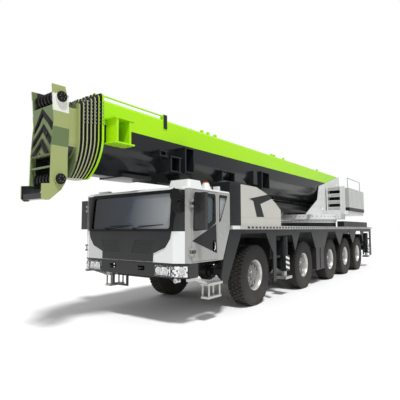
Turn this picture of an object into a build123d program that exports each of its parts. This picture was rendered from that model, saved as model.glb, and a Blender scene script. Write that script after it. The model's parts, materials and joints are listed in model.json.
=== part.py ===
"""Five-axle mobile crane with a seven-part telescopic boom, parked for the road.

Sizes are in millimetres. X points to the front of the crane, Y to its left and Z up.
The origin is on the ground, under the middle of the crane's length and width.
"""
import os
from math import cos, radians, sin

from build123d import *

os.makedirs("parts", exist_ok=True)

# Overall
overall_length = 16320
half_length = overall_length / 2
deck_half_width = 1500
body_half_width = 1450
skirt_half_width = 1440
seat_gap = 0.3

# Wheels and axles
wheel_radius = 680
tyre_width = 385
wheel_centre_y = 1200
tread_flats = 32
rim_flats = 24
rim_radius = 330
rim_wall = 14
rim_half_width = 150
disc_radius = 240
hub_radius = 150
hub_seat = 60
shoulder_width = 26
shoulder_height = 60
spindle_radius = 60
kingpin_y = 1080
kingpin_radius = 30
kingpin_boss_radius = 75
kingpin_boss_height = 150
knuckle_arm = 42
axle_half_height = 70
axle_half_depth = 75
differential_radius = 205
axle_1_x = half_length - 4630
axle_spacing = (2975, 2470, 1840, 1840)
axle_x = [axle_1_x - sum(axle_spacing[:count]) for count in range(5)]
steered_axles = (1, 2, 5)

# Carrier frame, deck and skirts
frame_half_width = 440
frame_bottom_z = 900
frame_top_z = 1720
deck_thickness = 80
deck_z = frame_top_z + deck_thickness
deck_rear_x = -half_length + 270
skirt_thickness = 30
skirt_low_z = 450
panel_gap = 4
arch_top_z = 1630
arch_eave_z = 1130
arch_half_top = 370
arch_half_base = 770

# Driver's cab
cab_front_x = half_length - 1960
cab_rear_x = cab_front_x - 1460
cab_floor_z = 1130
cab_roof_z = 2490
cab_wall = 60
cab_corner_x = cab_front_x - 150
cab_corner_y = 1180
cab_roof_radius = 45
roof_unit_x = cab_rear_x + 930
roof_unit_y = 1040
roof_unit_length = 480
roof_unit_width = 560
roof_unit_height = 160
windscreen_low_z = 1690
windscreen_top_z = 2400
windscreen_half_width = 1130
cab_rake = 80
cab_knee_z = 1750
cab_knee_depth = 270
glass_thickness = 8
door_front_x = cab_front_x - 190
door_rear_x = cab_front_x - 1010
door_low_z = cab_floor_z + 20
door_top_z = 2440
door_gap = 6
hinge_pin_radius = 12
hinge_barrel_radius = 22
hinge_levels = ((1300, 1360), (2150, 2210))
hinge_lug = 40
door_mirror_z = (1730, 2370)
mirror_arm_z = 2430

# Bumper
bumper_low_z = 870
bumper_top_z = 1130
tow_eye_y = 400
tow_eye_x = cab_front_x + 30
tow_eye_radius = 18
tow_eye_outer_radius = 42
tow_eye_thickness = 30
tow_eye_z = 1010
tow_opening_half_width = 90
tow_opening_half_height = 42
headlamp_y = (760, 1415)
headlamp_z = (895, 1080)
headlamp_depth = 60
mask_thickness = 16
mask_half_width = 1150
locker_x = (axle_1_x - 7060, axle_1_x - 10840)
locker_y = (1170, 1420)
locker_top_z = 2020
tow_clevis_x = -half_length + 60
tow_clevis_radius = 25
tow_clevis_z = (900, 1020)
tow_clevis_plate = 30
tow_clevis_half_width = 90
bumper_depth = 100
upper_step_z = 730
lower_step_z = 480
rear_bumper_z = (700, 860)
rear_bumper_half_width = 1250

# Engine housing and the two towers behind the cab
housing_front_x = axle_1_x + 765
housing_rear_x = axle_1_x - 1260
housing_top_z = 2690
housing_wall = 30
tower_front_x = axle_1_x + 1200
tower_top_z = 2700
tower_inner_y = 1000
engine_length = 1350
engine_width = 900
engine_height = 1050
engine_low_z = 1300
engine_clearance = 60

# Outriggers
outrigger_x = (axle_1_x - 1480, axle_1_x - 10650)
outrigger_box_half_length = 330
outrigger_box_half_width = 1180
outrigger_box_low_z = 960
outrigger_box_high_z = 1480
beam_offset_x = -150
beam_width = 240
beam_height = 380
beam_low_z = 1030
beam_clearance = 10
jack_y = 1350
jack_barrel_radius = 90
jack_rod_radius = 60
jack_barrel_low_z = 620
jack_barrel_high_z = 1530
jack_rod_top_z = 1450
foot_radius = 200
foot_low_z = 430
foot_height = 70

# Superstructure
slew_x = axle_1_x - 6900
ring_radius = 1120
ring_top_z = 1960
platform_low_z = 2120
platform_high_z = 2270
side_plate_inner_y = 530
side_plate_thickness = 60
boom_pivot_x = axle_1_x - 9200
boom_pivot_z = 3620
pivot_pin_radius = 90
luff_foot_x = boom_pivot_x + 2000
luff_foot_z = boom_pivot_z - 1120
luff_foot_pin_radius = 70
counterweight_front_x = axle_1_x - 8200
counterweight_rear_x = axle_1_x - 10800
counterweight_low_z = 2470
counterweight_rear_wall = 190
counterweight_high_z = 3430
counterweight_half_width = 1350
counterweight_corner = 110
rail_top_z = 3860
winch_x = boom_pivot_x - 1050
winch_z = 2870
winch_shaft_radius = 60
tray_low_z = 2320
tray_high_z = counterweight_low_z
steps_x = slew_x - 650
steps_y = (630, 1210)
steps_top_z = 3430
step_count = 4
step_pitch = 270
step_depth = 240
step_riser = 135
step_side = 45
op_cab_x = (slew_x - 100, slew_x + 1700)
op_cab_y = (-1390, -630)
op_cab_z = (platform_high_z, 3930)
op_cab_wall = 40
op_sill_z = 2980
op_rake = 220
op_door_x = (op_cab_x[0] + 350, op_cab_x[1] - 330)
op_door_z = (op_cab_z[0] + 80, op_cab_z[1] - 120)
op_door_travel = 900
op_door_thickness = 30
winch_drum_radius = 230
winch_flange_radius = 330
winch_half_width = 420

# Boom, in its own plane: s runs along it from the pivot, h is square to it
boom_tilt = 0.72
boom_width = 1000
boom_top_h = 475
boom_low_h = -769
boom_knee_h = -260
boom_wall = 12
boom_corner_radius = 60
boom_rear_s = -350
boom_front_s = 12960
section_step = 34
section_count = 7
section_rear_s = 450
section_rear_pitch = 60
collar_pitch = 50
collar_thickness = 44
collar_lip = 72
collar_drop = 105
collar_guide = 34
shelf_thickness = 26
web_thickness = 40
rail_radius = 16
head_rear_s = 13400
head_front_s = 13704
nose_s = 13844
head_half_width = 310
head_top_h = 550
head_low_h = -1275
head_plate = 25
sheave_radius = 118
sheave_pin_radius = 45
sheave_flats = 24
sheave_count = 6
sheave_pitch = 90
upper_sheave_h = 360
lower_sheave_h = -940
luff_eye_s = 6500
luff_eye_h = -1010
luff_barrel_radius = 180
luff_rod_radius = 95
luff_eye_radius = 120
luff_pin_radius = 60
luff_barrel_length = 3800
luff_barrel_start = 250


def block(x, y, z, mode=Mode.ADD):
    """Straight block between two limits on each axis."""
    with Locations(((x[0] + x[1]) / 2, (y[0] + y[1]) / 2, (z[0] + z[1]) / 2)):
        Box(abs(x[1] - x[0]), abs(y[1] - y[0]), abs(z[1] - z[0]), mode=mode)


def side_plate(outline, y, mode=Mode.ADD):
    """Plate with an outline of (x, z) points, between two y limits."""
    with BuildSketch(Plane.XZ.offset(-max(y))) as profile:
        with BuildLine():
            Polyline(*outline, close=True)
        make_face()
    extrude(profile.sketch, amount=max(y) - min(y), mode=mode)


def plan_plate(outline, z, mode=Mode.ADD):
    """Plate with an outline of (x, y) points, between two z limits."""
    with BuildSketch(Plane.XY.offset(min(z))) as profile:
        with BuildLine():
            Polyline(*outline, close=True)
        make_face()
    extrude(profile.sketch, amount=max(z) - min(z), mode=mode)


def front_plate(outline, x, mode=Mode.ADD):
    """Plate with an outline of (y, z) points, between two x limits."""
    with BuildSketch(Plane.YZ.offset(min(x))) as profile:
        with BuildLine():
            Polyline(*outline, close=True)
        make_face()
    extrude(profile.sketch, amount=max(x) - min(x), mode=mode)


def bar(start, end, radius, mode=Mode.ADD):
    """Round bar between two points."""
    path = Vector(*end) - Vector(*start)
    with BuildSketch(Plane(origin=start, z_dir=path)) as profile:
        Circle(radius)
    extrude(profile.sketch, amount=path.length, mode=mode)


def cross_bar(x, z, radius, y, mode=Mode.ADD):
    """Round bar along Y."""
    bar((x, min(y), z), (x, max(y), z), radius, mode)


def faceted_bar(x, z, radius, flats, y, mode=Mode.ADD):
    """Bar along Y with flat sides, the radius being to the flats."""
    with BuildSketch(Plane.XZ.offset(-max(y))) as profile:
        with Locations((x, z)):
            RegularPolygon(radius, flats, major_radius=False, rotation=180 / flats)
    extrude(profile.sketch, amount=max(y) - min(y), mode=mode)


def post(x, y, radius, z, mode=Mode.ADD):
    """Round bar along Z."""
    bar((x, y, min(z)), (x, y, max(z)), radius, mode)


# Carrier frame with the outrigger boxes and the lower slewing ring
frame_outline = [
    (deck_rear_x + 40, frame_top_z),
    (deck_rear_x + 40, outrigger_box_low_z),
    (deck_rear_x + 1300, frame_bottom_z),
    (axle_1_x + 700, frame_bottom_z),
    (axle_1_x + 1000, bumper_low_z - 60),
    (cab_front_x - 160, bumper_low_z - 60),
    (cab_front_x - 160, cab_floor_z - seat_gap),
    (cab_rear_x - 20, cab_floor_z - seat_gap),
    (cab_rear_x - 60, frame_top_z),
]
beam_rows = {"left": 1, "right": -1}
engine_x = (housing_front_x - 80 - engine_length, housing_front_x - 80)
engine_well_x = (engine_x[0] - engine_clearance, housing_front_x - housing_wall)

with BuildPart() as chassis:
    side_plate(frame_outline, (-frame_half_width, frame_half_width))
    for box_x in outrigger_x:
        block(
            (box_x - outrigger_box_half_length, box_x + outrigger_box_half_length),
            (-outrigger_box_half_width, outrigger_box_half_width),
            (outrigger_box_low_z, outrigger_box_high_z),
        )
        for side in beam_rows.values():
            beam_x = box_x + side * beam_offset_x
            reach = beam_width / 2 + beam_clearance
            block(
                (beam_x - reach, beam_x + reach),
                (-outrigger_box_half_width, outrigger_box_half_width),
                (beam_low_z - seat_gap, beam_low_z + beam_height + beam_clearance),
                Mode.SUBTRACT,
            )
    post(slew_x, 0, ring_radius, (frame_top_z, ring_top_z))
    block(engine_well_x, (-frame_half_width, frame_half_width), (engine_low_z, frame_top_z), Mode.SUBTRACT)
    for side in (1, -1):
        block(
            (cab_front_x - 160, cab_front_x - bumper_depth),
            (side * tow_eye_y - 60, side * tow_eye_y + 60),
            (bumper_low_z + 10, bumper_low_z + 170),
        )
        # Arms of the rear bumper
        block(
            (-half_length + bumper_depth, deck_rear_x + 50),
            (side * 300, side * 380),
            (rear_bumper_z[0] + 20, outrigger_box_low_z + 60),
        )
        # Front towing eye
        eye_z = (tow_eye_z - tow_eye_thickness / 2, tow_eye_z + tow_eye_thickness / 2)
        block(
            (cab_front_x - bumper_depth - 20, tow_eye_x),
            (side * tow_eye_y - tow_eye_outer_radius, side * tow_eye_y + tow_eye_outer_radius),
            eye_z,
        )
        post(tow_eye_x, side * tow_eye_y, tow_eye_outer_radius, eye_z)
        post(tow_eye_x, side * tow_eye_y, tow_eye_radius, eye_z, Mode.SUBTRACT)
    # Rear towing clevis
    for plate_z in (
        (tow_clevis_z[0], tow_clevis_z[0] + tow_clevis_plate),
        (tow_clevis_z[1] - tow_clevis_plate, tow_clevis_z[1]),
    ):
        block(
            (tow_clevis_x - 55, deck_rear_x + 50),
            (-tow_clevis_half_width, tow_clevis_half_width),
            plate_z,
        )
    block(
        (deck_rear_x + 20, deck_rear_x + 50),
        (-tow_clevis_half_width, tow_clevis_half_width),
        (tow_clevis_z[0], outrigger_box_low_z + 60),
    )
    post(tow_clevis_x, 0, tow_clevis_radius, tow_clevis_z, Mode.SUBTRACT)
chassis.part.label = "chassis"
export_step(chassis.part, "parts/chassis.step")

# Deck plate that runs from the cab's back wall to the tail
with BuildPart() as deck:
    block((deck_rear_x, cab_rear_x - 30), (-deck_half_width, deck_half_width), (frame_top_z, deck_z))
    post(slew_x, 0, ring_radius + seat_gap, (frame_top_z, deck_z), Mode.SUBTRACT)
    block(
        engine_well_x,
        (-engine_width / 2 - engine_clearance, engine_width / 2 + engine_clearance),
        (frame_top_z, deck_z),
        Mode.SUBTRACT,
    )
deck.part.label = "deck"
export_step(deck.part, "parts/deck.step")


def arch_pair(x, gap):
    """Arch outline whose eaves meet the next arch half a wheel spacing away."""
    return [(x + arch_half_top, arch_top_z), (x - arch_half_top, arch_top_z), (x - gap, arch_eave_z)]


post_x = axle_1_x - 800
tank_front_x = axle_x[1] - 820
tank_rear_x = axle_x[2] + 790
half_gap = axle_spacing[3] / 2
skirt_outline = [
    (cab_rear_x - 35, frame_top_z),
    (cab_rear_x + cab_knee_depth - 40, cab_floor_z - 20),
    (cab_rear_x + 310, 800),
    (cab_rear_x + 290, 660),
    (axle_1_x + 1310, 650),
    (axle_1_x + 740, arch_top_z),
    (axle_1_x - 400, arch_top_z),
    (post_x, arch_eave_z),
    (post_x, skirt_low_z),
    (post_x - 170, skirt_low_z),
    (post_x - 170, arch_top_z - 70),
    (axle_x[1] + 1000, arch_top_z - 70),
    (axle_x[1] + 800, arch_eave_z),
    (axle_x[1] + arch_half_top + 60, arch_top_z),
    (axle_x[1] - arch_half_top - 90, arch_top_z),
    (tank_front_x, arch_eave_z),
    (tank_front_x, skirt_low_z),
    (tank_rear_x, skirt_low_z),
    (tank_rear_x, arch_eave_z),
    *arch_pair(axle_x[2], half_gap),
    *arch_pair(axle_x[3], half_gap),
    (axle_x[4] + arch_half_top, arch_top_z),
    (axle_x[4] - arch_half_top, arch_top_z),
    (axle_x[4] - arch_half_base, arch_eave_z),
    (axle_x[4] - arch_half_base, arch_top_z - 40),
    (deck_rear_x + 260, arch_top_z - 40),
    (deck_rear_x + 260, skirt_low_z + 40),
    (deck_rear_x, skirt_low_z + 40),
    (deck_rear_x, frame_top_z),
]
step_x = (cab_rear_x + 330, cab_rear_x + 800)

with BuildPart() as skirts:
    side_plate(skirt_outline, (skirt_half_width - skirt_thickness, skirt_half_width))
    # Fuel tank behind the second wheel
    block(
        (tank_rear_x, tank_front_x),
        (frame_half_width + 260, skirt_half_width - skirt_thickness),
        (skirt_low_z + 40, arch_eave_z),
    )
    # Ribs on the tank and the locker panels
    for x in (tank_front_x - 30, (tank_front_x + tank_rear_x) / 2, tank_rear_x + 30):
        block((x - 15, x + 15), (skirt_half_width, skirt_half_width + 12), (skirt_low_z + 30, arch_eave_z))
    # Low locker along the rear of the deck
    block(
        (locker_x[1], locker_x[0]),
        (locker_y[0], locker_y[1]),
        (deck_z, locker_top_z),
    )
    # Joints beside the strip over each outrigger, which is a plate of its own
    for x in (
        post_x - 170 - panel_gap,
        axle_x[1] + 1000,
        axle_x[4] - arch_half_base - panel_gap,
        deck_rear_x + 260,
    ):
        block(
            (x, x + panel_gap),
            (skirt_half_width - skirt_thickness - 1, skirt_half_width + 1),
            (skirt_low_z, frame_top_z + 1),
            Mode.SUBTRACT,
        )
    # Ladder at the tail
    for z in (skirt_low_z + 130, skirt_low_z + 450, skirt_low_z + 770):
        block(
            (deck_rear_x - 40, deck_rear_x),
            (skirt_half_width - 330, skirt_half_width),
            (z, z + 60),
        )
    block(
        (deck_rear_x - 40, deck_rear_x),
        (skirt_half_width - 390, skirt_half_width - 330),
        (skirt_low_z + 40, frame_top_z),
    )
    block(
        (deck_rear_x - 40, deck_rear_x),
        (skirt_half_width - 60, skirt_half_width),
        (skirt_low_z + 40, frame_top_z),
    )
    mirror(about=Plane.XZ)
skirts.part.label = "skirts"
export_step(skirts.part, "parts/skirts.step")

# Folding access steps under the cab doors
with BuildPart() as cab_steps:
    block(step_x, (1290, body_half_width + 30), (upper_step_z - 45, upper_step_z))
    block(
        (step_x[0] + 20, step_x[1] - 20), (1290, body_half_width + 10), (lower_step_z - 40, lower_step_z)
    )
    for y in (1300, body_half_width - 5):
        for x in (step_x[0] + 60, step_x[1] - 60):
            block((x - 18, x + 18), (y - 8, y + 8), (lower_step_z - 10, upper_step_z - 20))
    # Bar that swings the steps out from the bumper's corner
    side_plate(
        [
            (step_x[1] - 30, upper_step_z - 45),
            (cab_front_x - 300, bumper_low_z - 50),
            (cab_front_x - 110, bumper_low_z - 50),
            (cab_front_x - 110, bumper_low_z - seat_gap),
            (cab_front_x - 330, bumper_low_z - seat_gap),
            (step_x[1] - 30, upper_step_z + 10),
        ],
        (body_half_width - 55, body_half_width - 5),
    )
    mirror(about=Plane.XZ)
cab_steps.part.label = "cab_steps"
export_step(cab_steps.part, "parts/cab_steps.step")


# Driver's cab
def cab_plan(inset):
    """Floor plan of the cab with swept front corners."""
    return [
        (cab_rear_x + inset, body_half_width - inset),
        (cab_corner_x, body_half_width - inset),
        (cab_front_x - inset, cab_corner_y - inset / 2),
        (cab_front_x - inset, -cab_corner_y + inset / 2),
        (cab_corner_x, -body_half_width + inset),
        (cab_rear_x + inset, -body_half_width + inset),
    ]


def cab_side(inset):
    """Side view of the cab with its raked windscreen."""
    return [
        (cab_rear_x + inset, cab_knee_z),
        (cab_rear_x + cab_knee_depth + inset, cab_floor_z + inset),
        (cab_front_x - inset, cab_floor_z + inset),
        (cab_front_x - inset, windscreen_low_z),
        (cab_front_x - cab_rake - inset, cab_roof_z - inset),
        (cab_rear_x + inset, cab_roof_z - inset),
    ]


def door_outline(inset):
    """Outline of a cab door."""
    return [
        (door_rear_x + inset, door_low_z + inset),
        (door_front_x - inset, door_low_z + inset),
        (door_front_x - inset, windscreen_low_z),
        (door_front_x - inset - 50, door_top_z - inset),
        (door_rear_x + inset, door_top_z - inset),
    ]


door_window = [
    (door_rear_x + 90, 1865),
    (door_rear_x + 330, 1755),
    (door_front_x - 70, 1715),
    (door_front_x - 110, door_top_z - 70),
    (door_rear_x + 90, door_top_z - 70),
]
quarter_window = [
    (cab_rear_x + 330, 1930),
    (door_rear_x - 70, 1880),
    (door_rear_x - 70, door_top_z - 70),
    (cab_rear_x + 110, door_top_z - 70),
]
hinge_x = door_front_x + hinge_pin_radius
hinge_y = body_half_width + hinge_barrel_radius + 4

with BuildPart() as cab_shell:
    plan_plate(cab_plan(0), (cab_floor_z, cab_roof_z))
    side_plate(cab_side(0), (-body_half_width, body_half_width), Mode.INTERSECT)
    fillet(cab_shell.faces().sort_by(Axis.Z)[-1].edges(), cab_roof_radius)
    with BuildPart(mode=Mode.PRIVATE) as cab_cavity:
        plan_plate(cab_plan(cab_wall), (cab_floor_z + cab_wall, cab_roof_z - cab_wall))
        side_plate(cab_side(cab_wall), (-body_half_width, body_half_width), Mode.INTERSECT)
    add(cab_cavity.part, mode=Mode.SUBTRACT)
    block(
        (cab_front_x - 400, cab_front_x + 10),
        (-windscreen_half_width, windscreen_half_width),
        (windscreen_low_z + 20, windscreen_top_z),
        Mode.SUBTRACT,
    )
    side_plate(door_outline(0), (-deck_half_width, deck_half_width), Mode.SUBTRACT)
    side_plate(quarter_window, (-deck_half_width, deck_half_width), Mode.SUBTRACT)
    # Air conditioner, beacon base and marker lamps on the roof
    with BuildSketch(Plane.XY.offset(cab_roof_z - 5)):
        with Locations((roof_unit_x, roof_unit_y)):
            RectangleRounded(roof_unit_length, roof_unit_width, 90)
    extrude(amount=roof_unit_height + 5, taper=18)
    with BuildSketch(Plane.XY.offset(cab_roof_z - 5)):
        with Locations((cab_rear_x + 490, 1200)):
            RegularPolygon(120, 12, major_radius=False)
    extrude(amount=roof_unit_height, taper=22)
    block((cab_rear_x + 160, cab_rear_x + 230), (1200, 1320), (cab_roof_z - 5, cab_roof_z + 100))
    block((cab_front_x - 330, cab_front_x - 230), (-1180, -860), (cab_roof_z - 5, cab_roof_z + 55))
    # Hinge pins of the doors, each held by a lug above and below the door's strap
    for side in (1, -1):
        for low, high in hinge_levels:
            post(hinge_x, side * hinge_y, hinge_pin_radius, (low - hinge_lug, high + hinge_lug))
            for lug_z in ((low - hinge_lug, low - seat_gap), (high + seat_gap, high + hinge_lug)):
                post(hinge_x, side * hinge_y, hinge_barrel_radius, lug_z)
                block(
                    (hinge_x, hinge_x + 50),
                    (side * (body_half_width - 10), side * (hinge_y + 10)),
                    lug_z,
                )
cab_shell.part.label = "cab_shell"
export_step(cab_shell.part, "parts/cab_shell.step")


def rake_x(z):
    """Front face of the cab at a height above the waist line."""
    return cab_front_x - cab_rake * (z - windscreen_low_z) / (cab_roof_z - windscreen_low_z)


pane_low_z = windscreen_low_z + 20 + seat_gap
pane_high_z = windscreen_top_z - seat_gap
pane_depth = 30
with BuildPart() as cab_glass:
    side_plate(
        [
            (rake_x(pane_low_z) - pane_depth, pane_low_z),
            (rake_x(pane_low_z) - pane_depth + glass_thickness, pane_low_z),
            (rake_x(pane_high_z) - pane_depth + glass_thickness, pane_high_z),
            (rake_x(pane_high_z) - pane_depth, pane_high_z),
        ],
        (-windscreen_half_width + seat_gap, windscreen_half_width - seat_gap),
    )
    with BuildSketch(Plane.XZ.offset(-(body_half_width - 20))):
        with BuildLine():
            Polyline(*quarter_window, close=True)
        make_face()
        offset(amount=-seat_gap, kind=Kind.INTERSECTION)
    extrude(amount=glass_thickness)
    with BuildSketch(Plane.XZ.offset(body_half_width - 20)):
        with BuildLine():
            Polyline(*quarter_window, close=True)
        make_face()
        offset(amount=-seat_gap, kind=Kind.INTERSECTION)
    extrude(amount=-glass_thickness)
cab_glass.part.label = "cab_glass"
export_step(cab_glass.part, "parts/cab_glass.step")

seat_width = 500
seat_y = 800
with BuildPart() as cab_interior:
    block(
        (cab_rear_x + cab_wall + cab_knee_depth, cab_front_x - cab_wall - 10),
        (-cab_corner_y + 20, cab_corner_y - 20),
        (cab_floor_z + cab_wall, cab_floor_z + cab_wall + 30),
    )
    block(
        (cab_front_x - 420, cab_front_x - cab_wall - 10),
        (-cab_corner_y + 100, cab_corner_y - 100),
        (cab_floor_z + cab_wall, windscreen_low_z - 60),
    )
    for side in (1, -1):
        y = (side * seat_y - seat_width / 2, side * seat_y + seat_width / 2)
        block((cab_rear_x + cab_knee_depth + 80, cab_rear_x + 760), y, (cab_floor_z + 80, 1560))
        side_plate(
            [
                (cab_rear_x + 480, 1560),
                (cab_rear_x + 260, 2250),
                (cab_rear_x + 160, 2250),
                (cab_rear_x + 360, 1500),
                (cab_rear_x + 480, 1500),
            ],
            y,
        )
cab_interior.part.label = "cab_interior"
export_step(cab_interior.part, "parts/cab_interior.step")

for side, name in ((1, "left"), (-1, "right")):
    outer_y = side * body_half_width
    inner_y = side * (body_half_width - cab_wall)
    with BuildPart() as door:
        side_plate(door_outline(door_gap), (inner_y, outer_y))
        side_plate(door_window, (inner_y, outer_y), Mode.SUBTRACT)
        # Hinge straps on the front edge
        for low, high in hinge_levels:
            block(
                (door_front_x - 80, door_front_x - door_gap - 4),
                (outer_y, side * (hinge_y + 12)),
                (low, high),
            )
            block(
                (door_front_x - 80, hinge_x),
                (side * (hinge_y - 6), side * (hinge_y + 12)),
                (low, high),
            )
            post(hinge_x, side * hinge_y, hinge_barrel_radius, (low, high))
            post(hinge_x, side * hinge_y, hinge_pin_radius + seat_gap, (low, high), Mode.SUBTRACT)
        # Long mirror on its arm
        block(
            (door_front_x - 60, door_front_x - 40),
            (outer_y, side * (body_half_width + 180)),
            (2330, 2350),
        )
        block(
            (door_front_x - 90, door_front_x - 10),
            (side * (body_half_width + 60), side * (body_half_width + 290)),
            door_mirror_z,
        )
    door.part.label = f"door_{name}"
    export_step(door.part, f"parts/door_{name}.step")

    with BuildPart() as door_glass:
        pane_y = side * (body_half_width - 20)
        with BuildSketch(Plane.XZ.offset(-pane_y)):
            with BuildLine():
                Polyline(*door_window, close=True)
            make_face()
            offset(amount=-seat_gap, kind=Kind.INTERSECTION)
        extrude(amount=side * glass_thickness)
    door_glass.part.label = f"door_glass_{name}"
    export_step(door_glass.part, f"parts/door_glass_{name}.step")

# Bumper and the louvred panel above it
bumper_plan = [
    (cab_front_x - 140, body_half_width - 10),
    (cab_front_x - 20, cab_corner_y + 40),
    (cab_front_x, cab_corner_y - 100),
    (cab_front_x, -cab_corner_y + 100),
    (cab_front_x - 20, -cab_corner_y - 40),
    (cab_front_x - 140, -body_half_width + 10),
    (cab_front_x - 400, -body_half_width + 10),
    (cab_front_x - 400, -body_half_width + 50),
    (cab_front_x - 180, -body_half_width + 60),
    (cab_front_x - 100, -cab_corner_y),
    (cab_front_x - 100, cab_corner_y),
    (cab_front_x - 180, body_half_width - 60),
    (cab_front_x - 400, body_half_width - 50),
    (cab_front_x - 400, body_half_width - 10),
]
def headlamp_plan(side, gap):
    """Plan of a headlamp that follows the bumper round its corner."""
    return [
        (cab_front_x + 3, side * (headlamp_y[0] - gap)),
        (cab_front_x + 3, side * (cab_corner_y - 100)),
        (cab_front_x - 17, side * (cab_corner_y + 40)),
        (cab_front_x - 125 - gap, side * (headlamp_y[1] + gap)),
        (cab_front_x - 175 - gap, side * (headlamp_y[1] - 25 + gap)),
        (cab_front_x - headlamp_depth - gap, side * (cab_corner_y - 10)),
        (cab_front_x - headlamp_depth - gap, side * (headlamp_y[0] - gap)),
    ]


mask_outline = [
    (mask_half_width, windscreen_low_z - 3),
    (mask_half_width - 30, windscreen_low_z - 130),
    (mask_half_width - 150, windscreen_low_z - 290),
    (mask_half_width - 440, windscreen_low_z - 400),
    (mask_half_width - 440, bumper_top_z + 6),
]
louvre_pitch = 42
with BuildPart() as bumper:
    plan_plate(bumper_plan, (bumper_low_z, bumper_top_z - 5))
    for side in (1, -1):
        plan_plate(
            headlamp_plan(side, seat_gap),
            (headlamp_z[0] - seat_gap, headlamp_z[1] + seat_gap),
            Mode.SUBTRACT,
        )
    # Front mask with two banks of louvres
    front_plate(
        mask_outline + [(-y, z) for y, z in reversed(mask_outline)],
        (cab_front_x + seat_gap, cab_front_x + mask_thickness),
    )
    for row in range(6):
        z = windscreen_low_z - 400 + row * louvre_pitch
        for side in (1, -1):
            inner = 150 + 18 * row
            outer = 640 + 18 * row
            block(
                (cab_front_x + mask_thickness - 9, cab_front_x + mask_thickness + 5),
                (side * inner, side * outer),
                (z, z + 18),
                Mode.SUBTRACT,
            )
    # Folding ladder under the middle of the bumper
    for y in (-455, -50):
        block((cab_front_x - 90, cab_front_x - 55), (y - 20, y + 20), (bumper_low_z - 240, bumper_low_z + 5))
    block((cab_front_x - 90, cab_front_x - 55), (-475, -30), (bumper_low_z - 240, bumper_low_z - 205))
    for side in (1, -1):
        block(
            (cab_front_x - 110, cab_front_x + 10),
            (side * tow_eye_y - tow_opening_half_width, side * tow_eye_y + tow_opening_half_width),
            (tow_eye_z - tow_opening_half_height, tow_eye_z + tow_opening_half_height),
            Mode.SUBTRACT,
        )
    block(
        (-half_length, -half_length + bumper_depth),
        (-rear_bumper_half_width, rear_bumper_half_width),
        rear_bumper_z,
    )
bumper.part.label = "bumper"
export_step(bumper.part, "parts/bumper.step")

with BuildPart() as lamps:
    for side in (1, -1):
        plan_plate(headlamp_plan(side, 0), headlamp_z)
        block(
            (-half_length + 20, -half_length + 80),
            (side * 850, side * rear_bumper_half_width),
            (rear_bumper_z[1], rear_bumper_z[1] + 110),
        )
    # Horn under the left corner of the bumper
    bar(
        (cab_front_x - 170, 1180, bumper_low_z - 45),
        (cab_front_x - 70, 1180, bumper_low_z - 45),
        45 - seat_gap,
    )
lamps.part.label = "lamps"
export_step(lamps.part, "parts/lamps.step")

with BuildPart() as front_mirrors:
    arm_root = (rake_x(mirror_arm_z - 20) + seat_gap, cab_corner_y - 60, mirror_arm_z)
    block(
        (arm_root[0], arm_root[0] + 25), (arm_root[1] - 35, arm_root[1] + 35),
        (mirror_arm_z - 20, mirror_arm_z + 20),
    )
    bar((arm_root[0] + 18, arm_root[1], mirror_arm_z), (cab_front_x + 110, 1300, mirror_arm_z), 15)
    bar((cab_front_x + 110, 1300, mirror_arm_z + 15), (cab_front_x + 90, 1330, 2080), 13)
    # Round mirror above and oval mirror below, both facing back
    bar((cab_front_x + 60, 1350, 2310), (cab_front_x + 140, 1350, 2310), 115)
    with BuildSketch(Plane.YZ.offset(cab_front_x + 50)):
        with Locations((1350, 2120)):
            RectangleRounded(170, 190, 70)
    extrude(amount=70)
front_mirrors.part.label = "front_mirrors"
export_step(front_mirrors.part, "parts/front_mirrors.step")

# Engine housing, open below over the engine
housing_outline = [
    (housing_front_x, deck_z),
    (housing_front_x, housing_top_z),
    (axle_1_x + 50, housing_top_z),
    (axle_1_x - 510, housing_top_z - 130),
    (axle_1_x - 960, housing_top_z - 320),
    (housing_rear_x, housing_top_z - 490),
    (housing_rear_x, deck_z),
]
with BuildPart() as engine_housing:
    side_plate(housing_outline, (-body_half_width, body_half_width))
    with BuildSketch(Plane.XZ.offset(-(body_half_width - housing_wall))):
        with BuildLine():
            Polyline(*housing_outline, close=True)
        make_face()
        offset(amount=-housing_wall, kind=Kind.INTERSECTION)
    extrude(amount=2 * (body_half_width - housing_wall), mode=Mode.SUBTRACT)
    block(
        (housing_rear_x + housing_wall, housing_front_x - housing_wall),
        (-body_half_width + housing_wall, body_half_width - housing_wall),
        (deck_z, deck_z + housing_wall),
        Mode.SUBTRACT,
    )
engine_housing.part.label = "engine_housing"
export_step(engine_housing.part, "parts/engine_housing.step")

with BuildPart() as engine:
    block(engine_x, (-engine_width / 2, engine_width / 2), (engine_low_z, engine_low_z + engine_height))
engine.part.label = "engine"
export_step(engine.part, "parts/engine.step")

with BuildPart() as air_towers:
    block(
        (housing_front_x + seat_gap, tower_front_x),
        (tower_inner_y, body_half_width),
        (deck_z, tower_top_z),
    )
    mirror(about=Plane.XZ)
air_towers.part.label = "air_towers"
export_step(air_towers.part, "parts/air_towers.step")


# Axles, knuckles and wheels
def spindle(x, side, inner_y):
    """Stub that carries a wheel: hub flange and spindle."""
    flange_y = wheel_centre_y + hub_seat - seat_gap
    faceted_bar(x, wheel_radius, hub_radius, 16, (side * (flange_y - 60), side * flange_y))
    cross_bar(x, wheel_radius, spindle_radius, (side * inner_y, side * (flange_y - 50)))


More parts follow.
